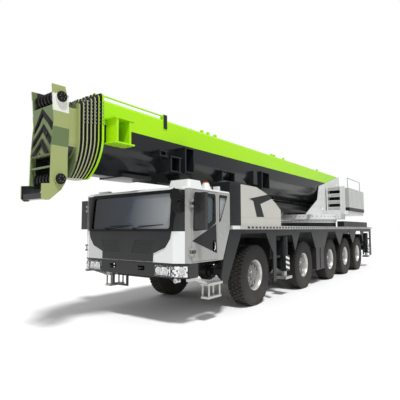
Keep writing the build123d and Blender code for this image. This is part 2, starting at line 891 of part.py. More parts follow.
with BuildPart() as axles:
    for number, x in enumerate(axle_x, start=1):
        steered = number in steered_axles
        end_y = kingpin_y - kingpin_boss_radius / 2 if steered else wheel_centre_y - 80
        block(
            (x - axle_half_depth, x + axle_half_depth),
            (-end_y, end_y),
            (wheel_radius - axle_half_height, wheel_radius + axle_half_height),
        )
        # Final drive in the middle of the axle
        faceted_bar(x, wheel_radius, differential_radius, 16, (-100, 100))
        faceted_bar(x, wheel_radius, differential_radius - 50, 16, (-190, 190))
        for side in (1, -1):
            # Suspension cylinder and the bracket that holds it to the frame
            block(
                (x - 50, x + 50),
                (side * 510, side * 610),
                (wheel_radius, frame_bottom_z + 200),
            )
            block(
                (x - 70, x + 70),
                (side * (frame_half_width + seat_gap), side * 620),
                (frame_bottom_z + 100, frame_bottom_z + 240),
            )
            if steered:
                low_z = wheel_radius - kingpin_boss_height / 2
                post(x, side * kingpin_y, kingpin_boss_radius, (low_z, low_z + kingpin_boss_height))
                post(
                    x,
                    side * kingpin_y,
                    kingpin_radius + seat_gap,
                    (low_z - 10, low_z + kingpin_boss_height + 10),
                    Mode.SUBTRACT,
                )
            else:
                spindle(x, side, end_y - 20)
axles.part.label = "axles"
export_step(axles.part, "parts/axles.step")

for number in steered_axles:
    x = axle_x[number - 1]
    for side, name in ((1, "left"), (-1, "right")):
        with BuildPart() as knuckle:
            low_z = wheel_radius - kingpin_boss_height / 2 - seat_gap
            high_z = wheel_radius + kingpin_boss_height / 2 + seat_gap
            arm_y = (side * (kingpin_y - 60), side * (kingpin_y + 120))
            post(x, side * kingpin_y, kingpin_radius, (low_z - 20, high_z + 20))
            for arm_z in ((low_z - knuckle_arm, low_z), (high_z, high_z + knuckle_arm)):
                block((x - 60, x + 60), arm_y, arm_z)
            block(
                (x - 60, x + 60),
                (side * (kingpin_y + kingpin_boss_radius + 8), side * (kingpin_y + 120)),
                (low_z - knuckle_arm, high_z + knuckle_arm),
            )
            spindle(x, side, kingpin_y + 100)
        knuckle.part.label = f"knuckle_{number}_{name}"
        export_step(knuckle.part, f"parts/knuckle_{number}_{name}.step")

tyre_half = tyre_width / 2
for number, x in enumerate(axle_x, start=1):
    for side, name in ((1, "left"), (-1, "right")):
        centre_y = side * wheel_centre_y
        tyre_y = (centre_y - tyre_half, centre_y + tyre_half)
        rim_y = (centre_y - rim_half_width, centre_y + rim_half_width)
        with BuildPart() as wheel:
            faceted_bar(x, wheel_radius, wheel_radius, tread_flats, tyre_y)
            chamfer(
                wheel.edges().filter_by(GeomType.LINE).filter_by(Axis.Y, reverse=True),
                shoulder_height,
                shoulder_width,
            )
            faceted_bar(x, wheel_radius, rim_radius + seat_gap, rim_flats, tyre_y, Mode.SUBTRACT)
            # Rim barrel, dished disc and hub reduction gear
            faceted_bar(x, wheel_radius, rim_radius, rim_flats, rim_y)
            faceted_bar(
                x,
                wheel_radius,
                rim_radius - rim_wall,
                rim_flats,
                (centre_y + side * hub_seat + side * 30, centre_y + side * (rim_half_width + 1)),
                Mode.SUBTRACT,
            )
            faceted_bar(
                x,
                wheel_radius,
                rim_radius - rim_wall,
                rim_flats,
                (centre_y - side * (rim_half_width + 1), centre_y + side * hub_seat),
                Mode.SUBTRACT,
            )
            faceted_bar(
                x,
                wheel_radius,
                disc_radius,
                24,
                (centre_y + side * hub_seat, centre_y + side * (hub_seat + 45)),
            )
            faceted_bar(
                x,
                wheel_radius,
                hub_radius - 20,
                16,
                (centre_y + side * hub_seat, centre_y + side * rim_half_width),
            )
        wheel.part.label = f"wheel_{number}_{name}"
        export_step(wheel.part, f"parts/wheel_{number}_{name}.step")

# Outrigger beams with their jack barrels, and the jacks' rods and feet
for place, box_x in zip(("front", "rear"), outrigger_x):
    for name, side in beam_rows.items():
        beam_x = box_x + side * beam_offset_x
        with BuildPart() as beam:
            block(
                (beam_x - beam_width / 2, beam_x + beam_width / 2),
                (-side * (outrigger_box_half_width - 20), side * jack_y),
                (beam_low_z, beam_low_z + beam_height),
            )
            post(beam_x, side * jack_y, jack_barrel_radius, (jack_barrel_low_z, jack_barrel_high_z))
            post(
                beam_x,
                side * jack_y,
                jack_rod_radius + seat_gap,
                (jack_barrel_low_z - 10, jack_rod_top_z + 20),
                Mode.SUBTRACT,
            )
            # Marker plate on the jack
            block(
                (beam_x - beam_width / 2, beam_x + beam_width / 2),
                (side * (jack_y + jack_barrel_radius - 6), side * (jack_y + jack_barrel_radius + 8)),
                (jack_barrel_low_z + 10, beam_low_z),
            )
        beam.part.label = f"outrigger_{place}_{name}"
        export_step(beam.part, f"parts/outrigger_{place}_{name}.step")

        with BuildPart() as jack:
            post(beam_x, side * jack_y, jack_rod_radius, (foot_low_z + foot_height, jack_rod_top_z))
            block(
                (beam_x - foot_radius, beam_x + foot_radius),
                (side * jack_y - 130, side * jack_y + 130),
                (foot_low_z, foot_low_z + foot_height),
            )
        jack.part.label = f"jack_{place}_{name}"
        export_step(jack.part, f"parts/jack_{place}_{name}.step")


# Superstructure
def boom_section_plane(s):
    """Plane square to the boom, s ahead of its pivot, with x to the left and y up."""
    tilt = radians(boom_tilt)
    return Plane(
        origin=(boom_pivot_x + s * cos(tilt), 0, boom_pivot_z - s * sin(tilt)),
        x_dir=(0, 1, 0),
        z_dir=(cos(tilt), 0, -sin(tilt)),
    )


def boom_side_plane(y):
    """Side view plane of the boom at one y, with x along the boom and y square to it."""
    tilt = radians(boom_tilt)
    return Plane(
        origin=(boom_pivot_x, y, boom_pivot_z),
        x_dir=(cos(tilt), 0, -sin(tilt)),
        z_dir=(0, -1, 0),
    )


def boom_point(s, h, y=0):
    """Point in the boom's own measures."""
    tilt = radians(boom_tilt)
    return (
        boom_pivot_x + s * cos(tilt) + h * sin(tilt),
        y,
        boom_pivot_z - s * sin(tilt) + h * cos(tilt),
    )


def boom_plate(outline, y, mode=Mode.ADD):
    """Plate along the boom with an outline of (s, h) points, between two y limits."""
    with BuildSketch(boom_side_plane(max(y))) as profile:
        with BuildLine():
            Polyline(*outline, close=True)
        make_face()
    extrude(profile.sketch, amount=max(y) - min(y), mode=mode)


def boom_outline(inset, low=None):
    """Section of the boom: a box above the knee and a round trough below it."""
    half = boom_width / 2 - inset
    top = boom_top_h - inset
    if low is None:
        low = boom_low_h + inset
    radius = boom_corner_radius
    sweep = radius * (1 - cos(radians(45)))
    with BuildLine() as edge:
        for side in (1, -1):
            Line((side * half, boom_knee_h), (side * half, top - radius))
            ThreePointArc(
                (side * half, top - radius),
                (side * (half - sweep), top - sweep),
                (side * (half - radius), top),
            )
            ThreePointArc(
                (side * half, boom_knee_h),
                (side * half * 0.72, (boom_knee_h + low) / 2 - 90),
                (side * half * 0.3, low),
            )
        Line((half - radius, top), (radius - half, top))
        Line((-half * 0.3, low), (half * 0.3, low))
    make_face(edge.edges())


def boom_block(s, y, h, mode=Mode.ADD):
    """Block square to the boom, between limits along it, across it and up from its pivot line."""
    boom_plate([(s[0], h[0]), (s[1], h[0]), (s[1], h[1]), (s[0], h[1])], y, mode)


def collar(front, inset):
    """Collar at the front end of a boom section, with rope guides on its top."""
    with BuildSketch(boom_section_plane(front - collar_thickness)) as ring:
        boom_outline(inset - collar_lip, boom_low_h - collar_drop)
    extrude(ring.sketch, amount=collar_thickness)
    top = boom_top_h - inset + collar_lip
    for share in (-0.7, -0.25, 0.25, 0.7):
        y = share * (boom_width / 2 - inset)
        boom_block((front - collar_thickness, front), (y - 25, y + 25), (top - 5, top + collar_guide))


plate_outer_y = side_plate_inner_y + side_plate_thickness
turntable_outline = [
    (slew_x + 1480, platform_high_z - 10),
    (slew_x + 190, 2870),
    (slew_x - 40, 3440),
    (slew_x - 680, 3580),
    (boom_pivot_x - 300, 4070),
    (boom_pivot_x - 350, 3700),
    (winch_x + 100, winch_z + 380),
    (winch_x - 300, winch_z + 300),
    (winch_x - 320, tray_high_z - 10),
    (slew_x - 1100, platform_high_z - 10),
]
with BuildPart() as turntable:
    post(slew_x, 0, ring_radius, (ring_top_z + seat_gap, platform_high_z))
    block(
        (slew_x - 1300, op_cab_x[1] + 40),
        (op_cab_y[0], -side_plate_inner_y),
        (platform_low_z, platform_high_z),
    )
    # Tray under the counterweight
    block(
        (counterweight_rear_x, steps_x + 10),
        (-counterweight_half_width + 60, counterweight_half_width - 60),
        (tray_low_z, tray_high_z),
    )
    for side in (1, -1):
        side_plate(turntable_outline, (side * side_plate_inner_y, side * plate_outer_y))
        cross_bar(
            winch_x, winch_z, winch_shaft_radius, (side * (winch_half_width - 60), side * plate_outer_y)
        )
    cross_bar(boom_pivot_x, boom_pivot_z, pivot_pin_radius, (-plate_outer_y - 25, plate_outer_y + 25))
    cross_bar(luff_foot_x, luff_foot_z, luff_foot_pin_radius, (-plate_outer_y - 20, plate_outer_y + 20))
    # Step box under the tray beside the ring
    block((steps_x - 600, steps_x + 440), (680, 1180), (tray_low_z - 210, tray_low_z))
turntable.part.label = "turntable"
export_step(turntable.part, "parts/turntable.step")

with BuildPart() as platform_steps:
    for y in (steps_y[0], steps_y[1] - step_side):
        block((steps_x - step_depth, steps_x), (y, y + step_side), (tray_high_z, steps_top_z))
    for level in range(step_count):
        z = tray_high_z + step_riser + level * step_pitch
        inside = (steps_y[0] + step_side - 5, steps_y[1] - step_side + 5)
        block((steps_x - step_depth, steps_x - 5), inside, (z - 12, z))
        block((steps_x - 17, steps_x - 5), inside, (z - step_riser, z))
    # Panel between the steps and the counterweight
    block(
        (steps_x - 60, steps_x - 20),
        (steps_y[1] - 5, counterweight_half_width),
        (tray_high_z, steps_top_z),
    )
platform_steps.part.label = "platform_steps"
export_step(platform_steps.part, "parts/platform_steps.step")

with BuildPart() as counterweight:
    for side in (1, -1):
        block(
            (counterweight_rear_x, counterweight_front_x),
            (side * (plate_outer_y + 30), side * counterweight_half_width),
            (counterweight_low_z, counterweight_high_z),
        )
    block(
        (counterweight_rear_x, counterweight_rear_x + counterweight_rear_wall),
        (-counterweight_half_width, counterweight_half_width),
        (counterweight_low_z, counterweight_high_z),
    )
    fillet(counterweight.edges().filter_by(Axis.Z).group_by(Axis.X)[0], counterweight_corner)
    chamfer(counterweight.faces().sort_by(Axis.Z)[-1].edges(), 20)
    # Handrails
    for side in (1, -1):
        rail_y = side * (counterweight_half_width - 110)
        rail_x = (counterweight_front_x - 250, counterweight_rear_x + 350)
        for x in rail_x:
            post(x, rail_y, 18, (counterweight_high_z - 10, rail_top_z))
        bar((rail_x[1] - 18, rail_y, rail_top_z), (rail_x[0] + 18, rail_y, rail_top_z), 18)
counterweight.part.label = "counterweight"
export_step(counterweight.part, "parts/counterweight.step")

with BuildPart() as winch_drum:
    faceted_bar(winch_x, winch_z, winch_drum_radius, 32, (-winch_half_width, winch_half_width))
    for side in (1, -1):
        faceted_bar(
            winch_x,
            winch_z,
            winch_flange_radius,
            32,
            (side * (winch_half_width - 30), side * winch_half_width),
        )
    cross_bar(
        winch_x,
        winch_z,
        winch_shaft_radius + seat_gap,
        (-winch_half_width - 10, winch_half_width + 10),
        Mode.SUBTRACT,
    )
winch_drum.part.label = "winch_drum"
export_step(winch_drum.part, "parts/winch_drum.step")

# Crane operator's cab beside the boom
op_cab_outline = [
    (op_cab_x[0], op_cab_z[0]),
    (op_cab_x[1] - 200, op_cab_z[0]),
    (op_cab_x[1], op_sill_z - 100),
    (op_cab_x[1] - op_rake, op_cab_z[1]),
    (op_cab_x[0], op_cab_z[1]),
]
op_window = [
    (op_cab_y[0] + 70, op_sill_z),
    (op_cab_y[1] - 70, op_sill_z),
    (op_cab_y[1] - 70, op_cab_z[1] - 80),
    (op_cab_y[0] + 70, op_cab_z[1] - 80),
]
with BuildPart() as operator_cab:
    side_plate(op_cab_outline, op_cab_y)
    with BuildSketch(Plane.XZ.offset(-op_cab_y[1] + op_cab_wall)):
        with BuildLine():
            Polyline(*op_cab_outline, close=True)
        make_face()
        offset(amount=-op_cab_wall, kind=Kind.INTERSECTION)
    extrude(amount=op_cab_y[1] - op_cab_y[0] - 2 * op_cab_wall, mode=Mode.SUBTRACT)
    block(op_door_x, (op_cab_y[0] - 10, op_cab_y[0] + op_cab_wall + 10), op_door_z, Mode.SUBTRACT)
    front_plate(op_window, (op_cab_x[1] - 400, op_cab_x[1] + 10), Mode.SUBTRACT)
    # Seat
    seat_y_limits = (-1240, -820)
    block(
        (op_cab_x[0] + 350, op_cab_x[0] + 850), seat_y_limits,
        (op_cab_z[0] + op_cab_wall - 5, op_cab_z[0] + 520),
    )
    block(
        (op_cab_x[0] + 260, op_cab_x[0] + 370), seat_y_limits,
        (op_cab_z[0] + 420, op_cab_z[0] + 1150),
    )
    # Rails that the door slides on
    for z in (op_door_z[0] - 40, op_door_z[1] + 20):
        block(
            (op_door_x[0] - op_door_travel - 20, op_door_x[1] + 20),
            (op_cab_y[0] - 25, op_cab_y[0]),
            (z, z + 20),
        )
operator_cab.part.label = "operator_cab"
export_step(operator_cab.part, "parts/operator_cab.step")

with BuildPart() as operator_cab_door:
    door_y = (op_cab_y[0] - seat_gap - op_door_thickness, op_cab_y[0] - seat_gap)
    block(op_door_x, door_y, (op_door_z[0] - 19, op_door_z[1] + 19))
    block(
        (op_door_x[0] + 90, op_door_x[1] - 90), door_y, (op_sill_z, op_door_z[1] - 90), Mode.SUBTRACT
    )
operator_cab_door.part.label = "operator_cab_door"
export_step(operator_cab_door.part, "parts/operator_cab_door.step")

with BuildPart() as operator_cab_glass:
    slope = -op_rake / (op_cab_z[1] - op_sill_z + 100)
    low, high = op_sill_z + seat_gap, op_cab_z[1] - 80 - seat_gap
    glass_x = [op_cab_x[1] - 20 + slope * (z - op_sill_z + 100) for z in (low, high)]
    side_plate(
        [
            (glass_x[0], low),
            (glass_x[0] + glass_thickness, low),
            (glass_x[1] + glass_thickness, high),
            (glass_x[1], high),
        ],
        (op_cab_y[0] + 70 + seat_gap, op_cab_y[1] - 70 - seat_gap),
    )
operator_cab_glass.part.label = "operator_cab_glass"
export_step(operator_cab_glass.part, "parts/operator_cab_glass.step")

# Base of the boom
eye_outline = [
    (luff_eye_s - 420, boom_low_h + 4),
    (luff_eye_s - 130, luff_eye_h - 60),
    (luff_eye_s, luff_eye_h - 130),
    (luff_eye_s + 130, luff_eye_h - 60),
    (luff_eye_s + 420, boom_low_h + 4),
]
half = boom_width / 2
jib_reach = half + 290
# Brackets on the left flank: two shelves and the webs between them, from front to rear
flank_brackets = (
    ((12430, 12860), (-290, 130), jib_reach, (12500, 12780)),
    ((11500, 11740), (-345, -250), half + 240, (11520, 11690)),
    ((11090, 11430), (-610, -320), half + 240, (11110, 11380)),
    ((10690, 11040), (-590, -95), jib_reach, (10710, 10990)),
    ((8740, 9420), (-600, -360), half + 110, (8780, 9350)),
    ((6930, 7480), (-650, -180), half + 190, (6960, 7420)),
)
with BuildPart() as boom_base:
    with BuildSketch(boom_section_plane(boom_rear_s)):
        boom_outline(0)
    extrude(amount=boom_front_s - boom_rear_s - collar_thickness - seat_gap)
    collar(boom_front_s, 0)
    for reach_s, reach_h, reach_y, webs in flank_brackets:
        for h in reach_h:
            boom_block(reach_s, (half * 0.6, reach_y), (h - shelf_thickness / 2, h + shelf_thickness / 2))
        for s in webs:
            boom_block((s, s + web_thickness), (half * 0.6, reach_y - 15), reach_h)
    # Hanger below the widest bracket, and a post further back
    boom_block((10700, 11020), (half * 0.6, half + 120), (-730, -590))
    boom_block((7610, 7830), (half * 0.6, half + 110), (-560, -190))
    # Rope guides along the top
    for s in (9900, 9650, 9350, 6200, 6000, 5300, 2000):
        boom_block((s, s + 70), (half - 130, half - 70), (boom_top_h - 5, boom_top_h + 75))
    # Rail over the top edge, from the collar back to its bracket
    rail_s = (11340, boom_front_s - collar_thickness - seat_gap)
    rail_h = boom_top_h + collar_lip - 14
    bar(
        boom_point(rail_s[0], rail_h, half - 20),
        boom_point(rail_s[1], rail_h, half - 20),
        rail_radius,
    )
    boom_block((rail_s[0] - 60, rail_s[0] + 40), (half - 90, half + 15), (boom_top_h - 200, rail_h + 30))
    # Pad under the front of the boom
    boom_block((11550, 12300), (-330, 330), (boom_low_h - 12, boom_low_h + 60))
    with BuildSketch(boom_section_plane(boom_rear_s + 20)):
        boom_outline(boom_wall)
    extrude(amount=boom_front_s - boom_rear_s - 20 - collar_thickness, mode=Mode.SUBTRACT)
    with BuildSketch(boom_section_plane(boom_front_s - collar_thickness - 10)):
        boom_outline(section_step - seat_gap)
    extrude(amount=collar_thickness + 20, mode=Mode.SUBTRACT)
    cross_bar(boom_pivot_x, boom_pivot_z, pivot_pin_radius + 60, (-half - 25, half + 25))
    cross_bar(boom_pivot_x, boom_pivot_z, pivot_pin_radius + seat_gap, (-half - 30, half + 30), Mode.SUBTRACT)
    # Ears that carry the luffing cylinder's rod
    for side in (1, -1):
        boom_plate(eye_outline, (side * 145, side * 105))
boom_base.part.label = "boom_base"
export_step(boom_base.part, "parts/boom_base.step")

for number in range(2, section_count):
    order = number - 1
    inset = order * section_step
    rear = section_rear_s + (order - 1) * section_rear_pitch
    front = boom_front_s + order * collar_pitch
    with BuildPart() as section:
        with BuildSketch(boom_section_plane(rear)):
            boom_outline(inset)
        extrude(amount=front - rear - collar_thickness - seat_gap)
        collar(front, inset)
        with BuildSketch(boom_section_plane(rear - 10)):
            boom_outline(inset + boom_wall)
        extrude(amount=front - rear + 10 - collar_thickness, mode=Mode.SUBTRACT)
        with BuildSketch(boom_section_plane(front - collar_thickness - 10)):
            boom_outline(inset + section_step - seat_gap)
        extrude(amount=collar_thickness + 20, mode=Mode.SUBTRACT)
    section.part.label = f"boom_section_{number}"
    export_step(section.part, f"parts/boom_section_{number}.step")

tip_order = section_count - 1
tip_inset = tip_order * section_step
tip_rear = section_rear_s + (tip_order - 1) * section_rear_pitch
head_outline = [
    (head_rear_s + 80, head_top_h),
    (head_front_s, head_top_h - 10),
    (head_front_s - 14, head_top_h - 205),
    (head_front_s - 44, head_top_h - 590),
    (head_front_s - 4, head_top_h - 1077),
    (head_front_s + 6, head_low_h + 258),
    (nose_s, head_low_h + 245),
    (nose_s, head_low_h + 40),
    (nose_s - 50, head_low_h),
    (head_rear_s + 320, head_low_h + 5),
    (head_rear_s + 130, head_low_h + 165),
    (head_rear_s + 60, head_low_h + 275),
    (head_rear_s + 30, head_low_h + 408),
    (head_rear_s + 20, head_low_h + 748),
    (head_rear_s, head_low_h + 1075),
    (head_rear_s, head_top_h - 460),
    (head_rear_s + 20, head_top_h - 207),
]
sheave_s = head_front_s - 145
head_inner_y = head_half_width - head_plate
with BuildPart() as boom_tip:
    with BuildSketch(boom_section_plane(tip_rear)):
        boom_outline(tip_inset)
    extrude(amount=head_rear_s + 30 - tip_rear)
    collar(boom_front_s + tip_order * collar_pitch, tip_inset)
    with BuildSketch(boom_section_plane(tip_rear - 10)):
        boom_outline(tip_inset + boom_wall)
    extrude(amount=head_rear_s + 50 - tip_rear, mode=Mode.SUBTRACT)
    for side in (1, -1):
        boom_plate(head_outline, (side * head_half_width, side * head_inner_y))
        # Bosses round the sheave pins
        for h in (upper_sheave_h, lower_sheave_h):
            x, _, z = boom_point(sheave_s, h)
            faceted_bar(x, z, 95, 16, (side * (head_half_width - 5), side * (head_half_width + 30)))
    # Back plate that closes the last section, and the marker plate in front
    plate_y = (-head_inner_y - 5, head_inner_y + 5)
    boom_block((head_rear_s + 5, head_rear_s + 30), plate_y, (head_low_h + 350, head_top_h - 120))
    boom_plate(
        [
            (head_front_s - 45, upper_sheave_h - sheave_radius - 25),
            (head_front_s - 20, upper_sheave_h - sheave_radius - 25),
            (head_front_s - 50, head_top_h - 590),
            (head_front_s - 14, lower_sheave_h + 380),
            (head_front_s - 40, lower_sheave_h + 380),
            (head_front_s - 75, head_top_h - 590),
        ],
        plate_y,
    )
    # Shelves above and below the marker plate, and the rope guard at the nose
    for h in (upper_sheave_h - sheave_radius - 45, lower_sheave_h + 370):
        boom_block((head_rear_s + 20, head_front_s - 25), plate_y, (h, h + 20))
    boom_block((head_front_s - 5, nose_s - 15), plate_y, (head_low_h + 20, head_low_h + 110))
    x, _, z = boom_point(head_front_s - 25, lower_sheave_h + 190)
    cross_bar(x, z, 18, plate_y)
    for h in (upper_sheave_h, lower_sheave_h):
        x, _, z = boom_point(sheave_s, h)
        cross_bar(x, z, sheave_pin_radius, (-head_half_width - 50, head_half_width + 50))
boom_tip.part.label = "boom_tip"
export_step(boom_tip.part, "parts/boom_tip.step")

for name, h in (("upper", upper_sheave_h), ("lower", lower_sheave_h)):
    x, _, z = boom_point(sheave_s, h)
    first_y = -sheave_pitch * (sheave_count - 1) / 2
    with BuildPart() as sheaves:
        faceted_bar(x, z, sheave_pin_radius + 30, 12, (first_y - 30, -first_y + 30))
        for row in range(sheave_count):
            y = first_y + row * sheave_pitch
            faceted_bar(x, z, sheave_radius, sheave_flats, (y - 22, y + 22))
        cross_bar(x, z, sheave_pin_radius + seat_gap, (-head_half_width, head_half_width), Mode.SUBTRACT)
    sheaves.part.label = f"head_sheaves_{name}"
    export_step(sheaves.part, f"parts/head_sheaves_{name}.step")

# Luffing cylinder
eye_x, _, eye_z = boom_point(luff_eye_s, luff_eye_h)
foot = Vector(luff_foot_x, 0, luff_foot_z)
luff_line = (Vector(eye_x, 0, eye_z) - foot).normalized()
luff_length = (Vector(eye_x, 0, eye_z) - foot).length
with BuildPart() as luff_barrel:
    start = foot + luff_line * luff_barrel_start
    end = start + luff_line * luff_barrel_length
    bar(tuple(start), tuple(end), luff_barrel_radius)
    cross_bar(luff_foot_x, luff_foot_z, luff_foot_pin_radius + 60, (-150, 150))
    bar(tuple(foot), tuple(start + luff_line * 10), luff_foot_pin_radius + 40)
    cross_bar(luff_foot_x, luff_foot_z, luff_foot_pin_radius + seat_gap, (-160, 160), Mode.SUBTRACT)
    bar(
        tuple(start + luff_line * 40), tuple(end + luff_line * 10), luff_rod_radius + seat_gap,
        Mode.SUBTRACT,
    )
luff_barrel.part.label = "luff_barrel"
export_step(luff_barrel.part, "parts/luff_barrel.step")

with BuildPart() as luff_rod:
    rod_start = foot + luff_line * (luff_barrel_start + 60)
    eye = foot + luff_line * luff_length
    bar(tuple(rod_start), tuple(eye), luff_rod_radius)
    cross_bar(eye.X, eye.Z, luff_eye_radius, (-90, 90))
    cross_bar(eye.X, eye.Z, luff_pin_radius, (-100, 100), Mode.SUBTRACT)
luff_rod.part.label = "luff_rod"
export_step(luff_rod.part, "parts/luff_rod.step")
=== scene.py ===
import json
import math

import bmesh
import bpy
from mathutils import Matrix, Vector


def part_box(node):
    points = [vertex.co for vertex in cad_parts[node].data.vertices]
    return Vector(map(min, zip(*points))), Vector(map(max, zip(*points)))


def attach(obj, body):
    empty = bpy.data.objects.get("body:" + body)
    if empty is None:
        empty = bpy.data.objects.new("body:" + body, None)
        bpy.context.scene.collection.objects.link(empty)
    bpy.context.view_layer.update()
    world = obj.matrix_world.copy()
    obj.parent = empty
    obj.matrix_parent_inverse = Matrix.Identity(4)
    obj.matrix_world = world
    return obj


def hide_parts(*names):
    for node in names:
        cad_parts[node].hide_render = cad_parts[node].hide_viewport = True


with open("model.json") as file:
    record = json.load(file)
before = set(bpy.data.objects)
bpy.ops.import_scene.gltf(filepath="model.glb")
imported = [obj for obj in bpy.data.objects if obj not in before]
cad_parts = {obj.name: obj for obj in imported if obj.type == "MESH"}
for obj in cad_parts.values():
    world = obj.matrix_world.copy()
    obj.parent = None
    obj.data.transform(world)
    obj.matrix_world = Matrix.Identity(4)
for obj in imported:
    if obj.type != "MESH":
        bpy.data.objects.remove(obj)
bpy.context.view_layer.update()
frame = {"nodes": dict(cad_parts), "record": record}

# Studio: a five-axle mobile crane is parked for the road on a pale, plain floor.
# The camera stands low, off its front left corner, as in the photograph.
# The light is soft and white all round, with one gentle key lamp high off the same corner.
camera_place = Vector((11.10, 5.434, 1.727))
camera_heading = math.radians(216.71)
camera_pitch = 0.0794
camera_roll = math.radians(-0.17)
camera_data = bpy.data.cameras.new("photo_camera")
camera_data.sensor_width = 36
camera_data.lens = 33.02
camera = bpy.data.objects.new("photo_camera", camera_data)
look = Vector((
    math.cos(camera_pitch) * math.cos(camera_heading),
    math.cos(camera_pitch) * math.sin(camera_heading),
    math.sin(camera_pitch),
))
camera.matrix_world = (
    Matrix.Translation(camera_place)
    @ look.to_track_quat("-Z", "Y").to_matrix().to_4x4()
    @ Matrix.Rotation(camera_roll, 4, "Z")
)
bpy.context.scene.collection.objects.link(camera)
bpy.context.scene.camera = camera
bpy.context.scene.view_settings.view_transform = "Standard"


def add_node(tree, kind, **values):
    """Node of one kind, with its settings and its unlinked sockets given by name."""
    made = tree.nodes.new(kind)
    for key, value in values.items():
        if hasattr(made, key):
            setattr(made, key, value)
        else:
            made.inputs[key.replace("_", " ")].default_value = value
    return made


floor_half = 120
floor_corners = [(floor_half * x, floor_half * y, 0) for x, y in ((-1, -1), (1, -1), (1, 1), (-1, 1))]
floor_mesh = bpy.data.meshes.new("floor")
floor_mesh.from_pydata(floor_corners, [], [(0, 1, 2, 3)])
floor = bpy.data.objects.new("floor", floor_mesh)
bpy.context.scene.collection.objects.link(floor)
floor_paint = bpy.data.materials.new("studio_floor")
floor_paint.use_nodes = True
floor_shader = floor_paint.node_tree.nodes["Principled BSDF"]
floor_shader.inputs["Base Color"].default_value = (0.90, 0.90, 0.90, 1)
floor_shader.inputs["Roughness"].default_value = 0.9
floor_mesh.materials.append(floor_paint)

seen_white = 1.0
fill_light = 0.50
world = bpy.data.worlds.new("studio")
bpy.context.scene.world = world
world.use_nodes = True
sky = world.node_tree
backdrop = sky.nodes["Background"]
backdrop.inputs["Color"].default_value = (1, 1, 1, 1)
rays = add_node(sky, "ShaderNodeLightPath")
seen = add_node(sky, "ShaderNodeMath", operation="MAXIMUM")
sky.links.new(rays.outputs["Is Camera Ray"], seen.inputs[0])
sky.links.new(rays.outputs["Is Transmission Ray"], seen.inputs[1])
level = add_node(sky, "ShaderNodeMapRange", To_Min=fill_light, To_Max=seen_white)
sky.links.new(seen.outputs[0], level.inputs["Value"])
sky.links.new(level.outputs[0], backdrop.inputs["Strength"])

key_data = bpy.data.lights.new("key_lamp", "SUN")
key_data.energy = 2.9
key_data.angle = math.radians(9)
key_lamp = bpy.data.objects.new("key_lamp", key_data)
key_direction = Vector((-0.35, -0.48, -1.0))
key_lamp.rotation_euler = key_direction.to_track_quat("-Z", "Y").to_euler()
bpy.context.scene.collection.objects.link(key_lamp)

# Wheels: single tyres with an open block tread, moulded in black rubber, on painted steel rims.
# The disc is dished and pressed with round hand holes, and a ring of nuts holds it to the hub.
# Each one takes the place of its CAD wheel and turns with it. Road dust lies low on its paint.
wheel_radius = 0.68
tyre_half = 0.1925
wheel_y = 1.2
axle_x = [sum(corner[0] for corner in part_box(f"wheel_{n}_left")) / 2 for n in range(1, 6)]
lug_depth = 0.017
dust_colour = (0.34, 0.31, 0.27)
dust_top = 1.5
dust_full = 0.2


def finish(name, colour, rough=0.35, metal=0.0, coat=0.0, cloud=0.12, grain=90.0, bump=0.012, dust=0.0):
    """Procedural finish: cloudy colour, uneven gloss, fine surface grain and dust near the ground."""
    made = bpy.data.materials.new(name)
    made.use_nodes = True
    tree = made.node_tree
    shader = tree.nodes["Principled BSDF"]
    shader.inputs["Metallic"].default_value = metal
    shader.inputs["Coat Weight"].default_value = coat
    shader.inputs["Coat Roughness"].default_value = 0.12
    dark = max(colour) < 0.1
    shader.inputs["Specular IOR Level"].default_value = 0.22 if dark else 0.4
    place = add_node(tree, "ShaderNodeTexCoord")
    clouds = add_node(tree, "ShaderNodeTexNoise", Scale=2.3, Detail=6.0, Roughness=0.62)
    tree.links.new(place.outputs["Object"], clouds.inputs["Vector"])
    tone_and_painted_reflection = add_node(tree, "ShaderNodeMix", data_type="RGBA")
    tone_and_painted_reflection.inputs["A"].default_value = (*colour, 1)
    tone_and_painted_reflection.inputs["B"].default_value = (*[c * (1 - cloud * 2.2) for c in colour], 1)
    tree.links.new(clouds.outputs["Fac"], tone_and_painted_reflection.inputs["Factor"])
    last = tone_and_painted_reflection.outputs["Result"]
    if dust:
        axes = add_node(tree, "ShaderNodeSeparateXYZ")
        tree.links.new(place.outputs["Object"], axes.inputs[0])
        low = add_node(tree, "ShaderNodeMapRange", From_Min=dust_top, From_Max=dust_full, To_Max=dust)
        tree.links.new(axes.outputs["Z"], low.inputs["Value"])
        patch = add_node(tree, "ShaderNodeMath", operation="MULTIPLY")
        tree.links.new(low.outputs[0], patch.inputs[0])
        tree.links.new(clouds.outputs["Fac"], patch.inputs[1])
        dusty = add_node(tree, "ShaderNodeMix", data_type="RGBA")
        dusty.inputs["B"].default_value = (*dust_colour, 1)
        tree.links.new(patch.outputs[0], dusty.inputs["Factor"])
        tree.links.new(last, dusty.inputs["A"])
        last = dusty.outputs["Result"]
    tree.links.new(last, shader.inputs["Base Color"])
    gloss = add_node(tree, "ShaderNodeMapRange", To_Min=max(rough - 0.08, 0.02), To_Max=rough + 0.1)
    tree.links.new(clouds.outputs["Fac"], gloss.inputs["Value"])
    tree.links.new(gloss.outputs[0], shader.inputs["Roughness"])
    peel = add_node(tree, "ShaderNodeTexNoise", Scale=grain, Detail=2.0)
    tree.links.new(place.outputs["Object"], peel.inputs["Vector"])
    relief = add_node(tree, "ShaderNodeBump", Strength=bump, Distance=0.01)
    tree.links.new(peel.outputs["Fac"], relief.inputs["Height"])
    tree.links.new(relief.outputs[0], shader.inputs["Normal"])
    return made


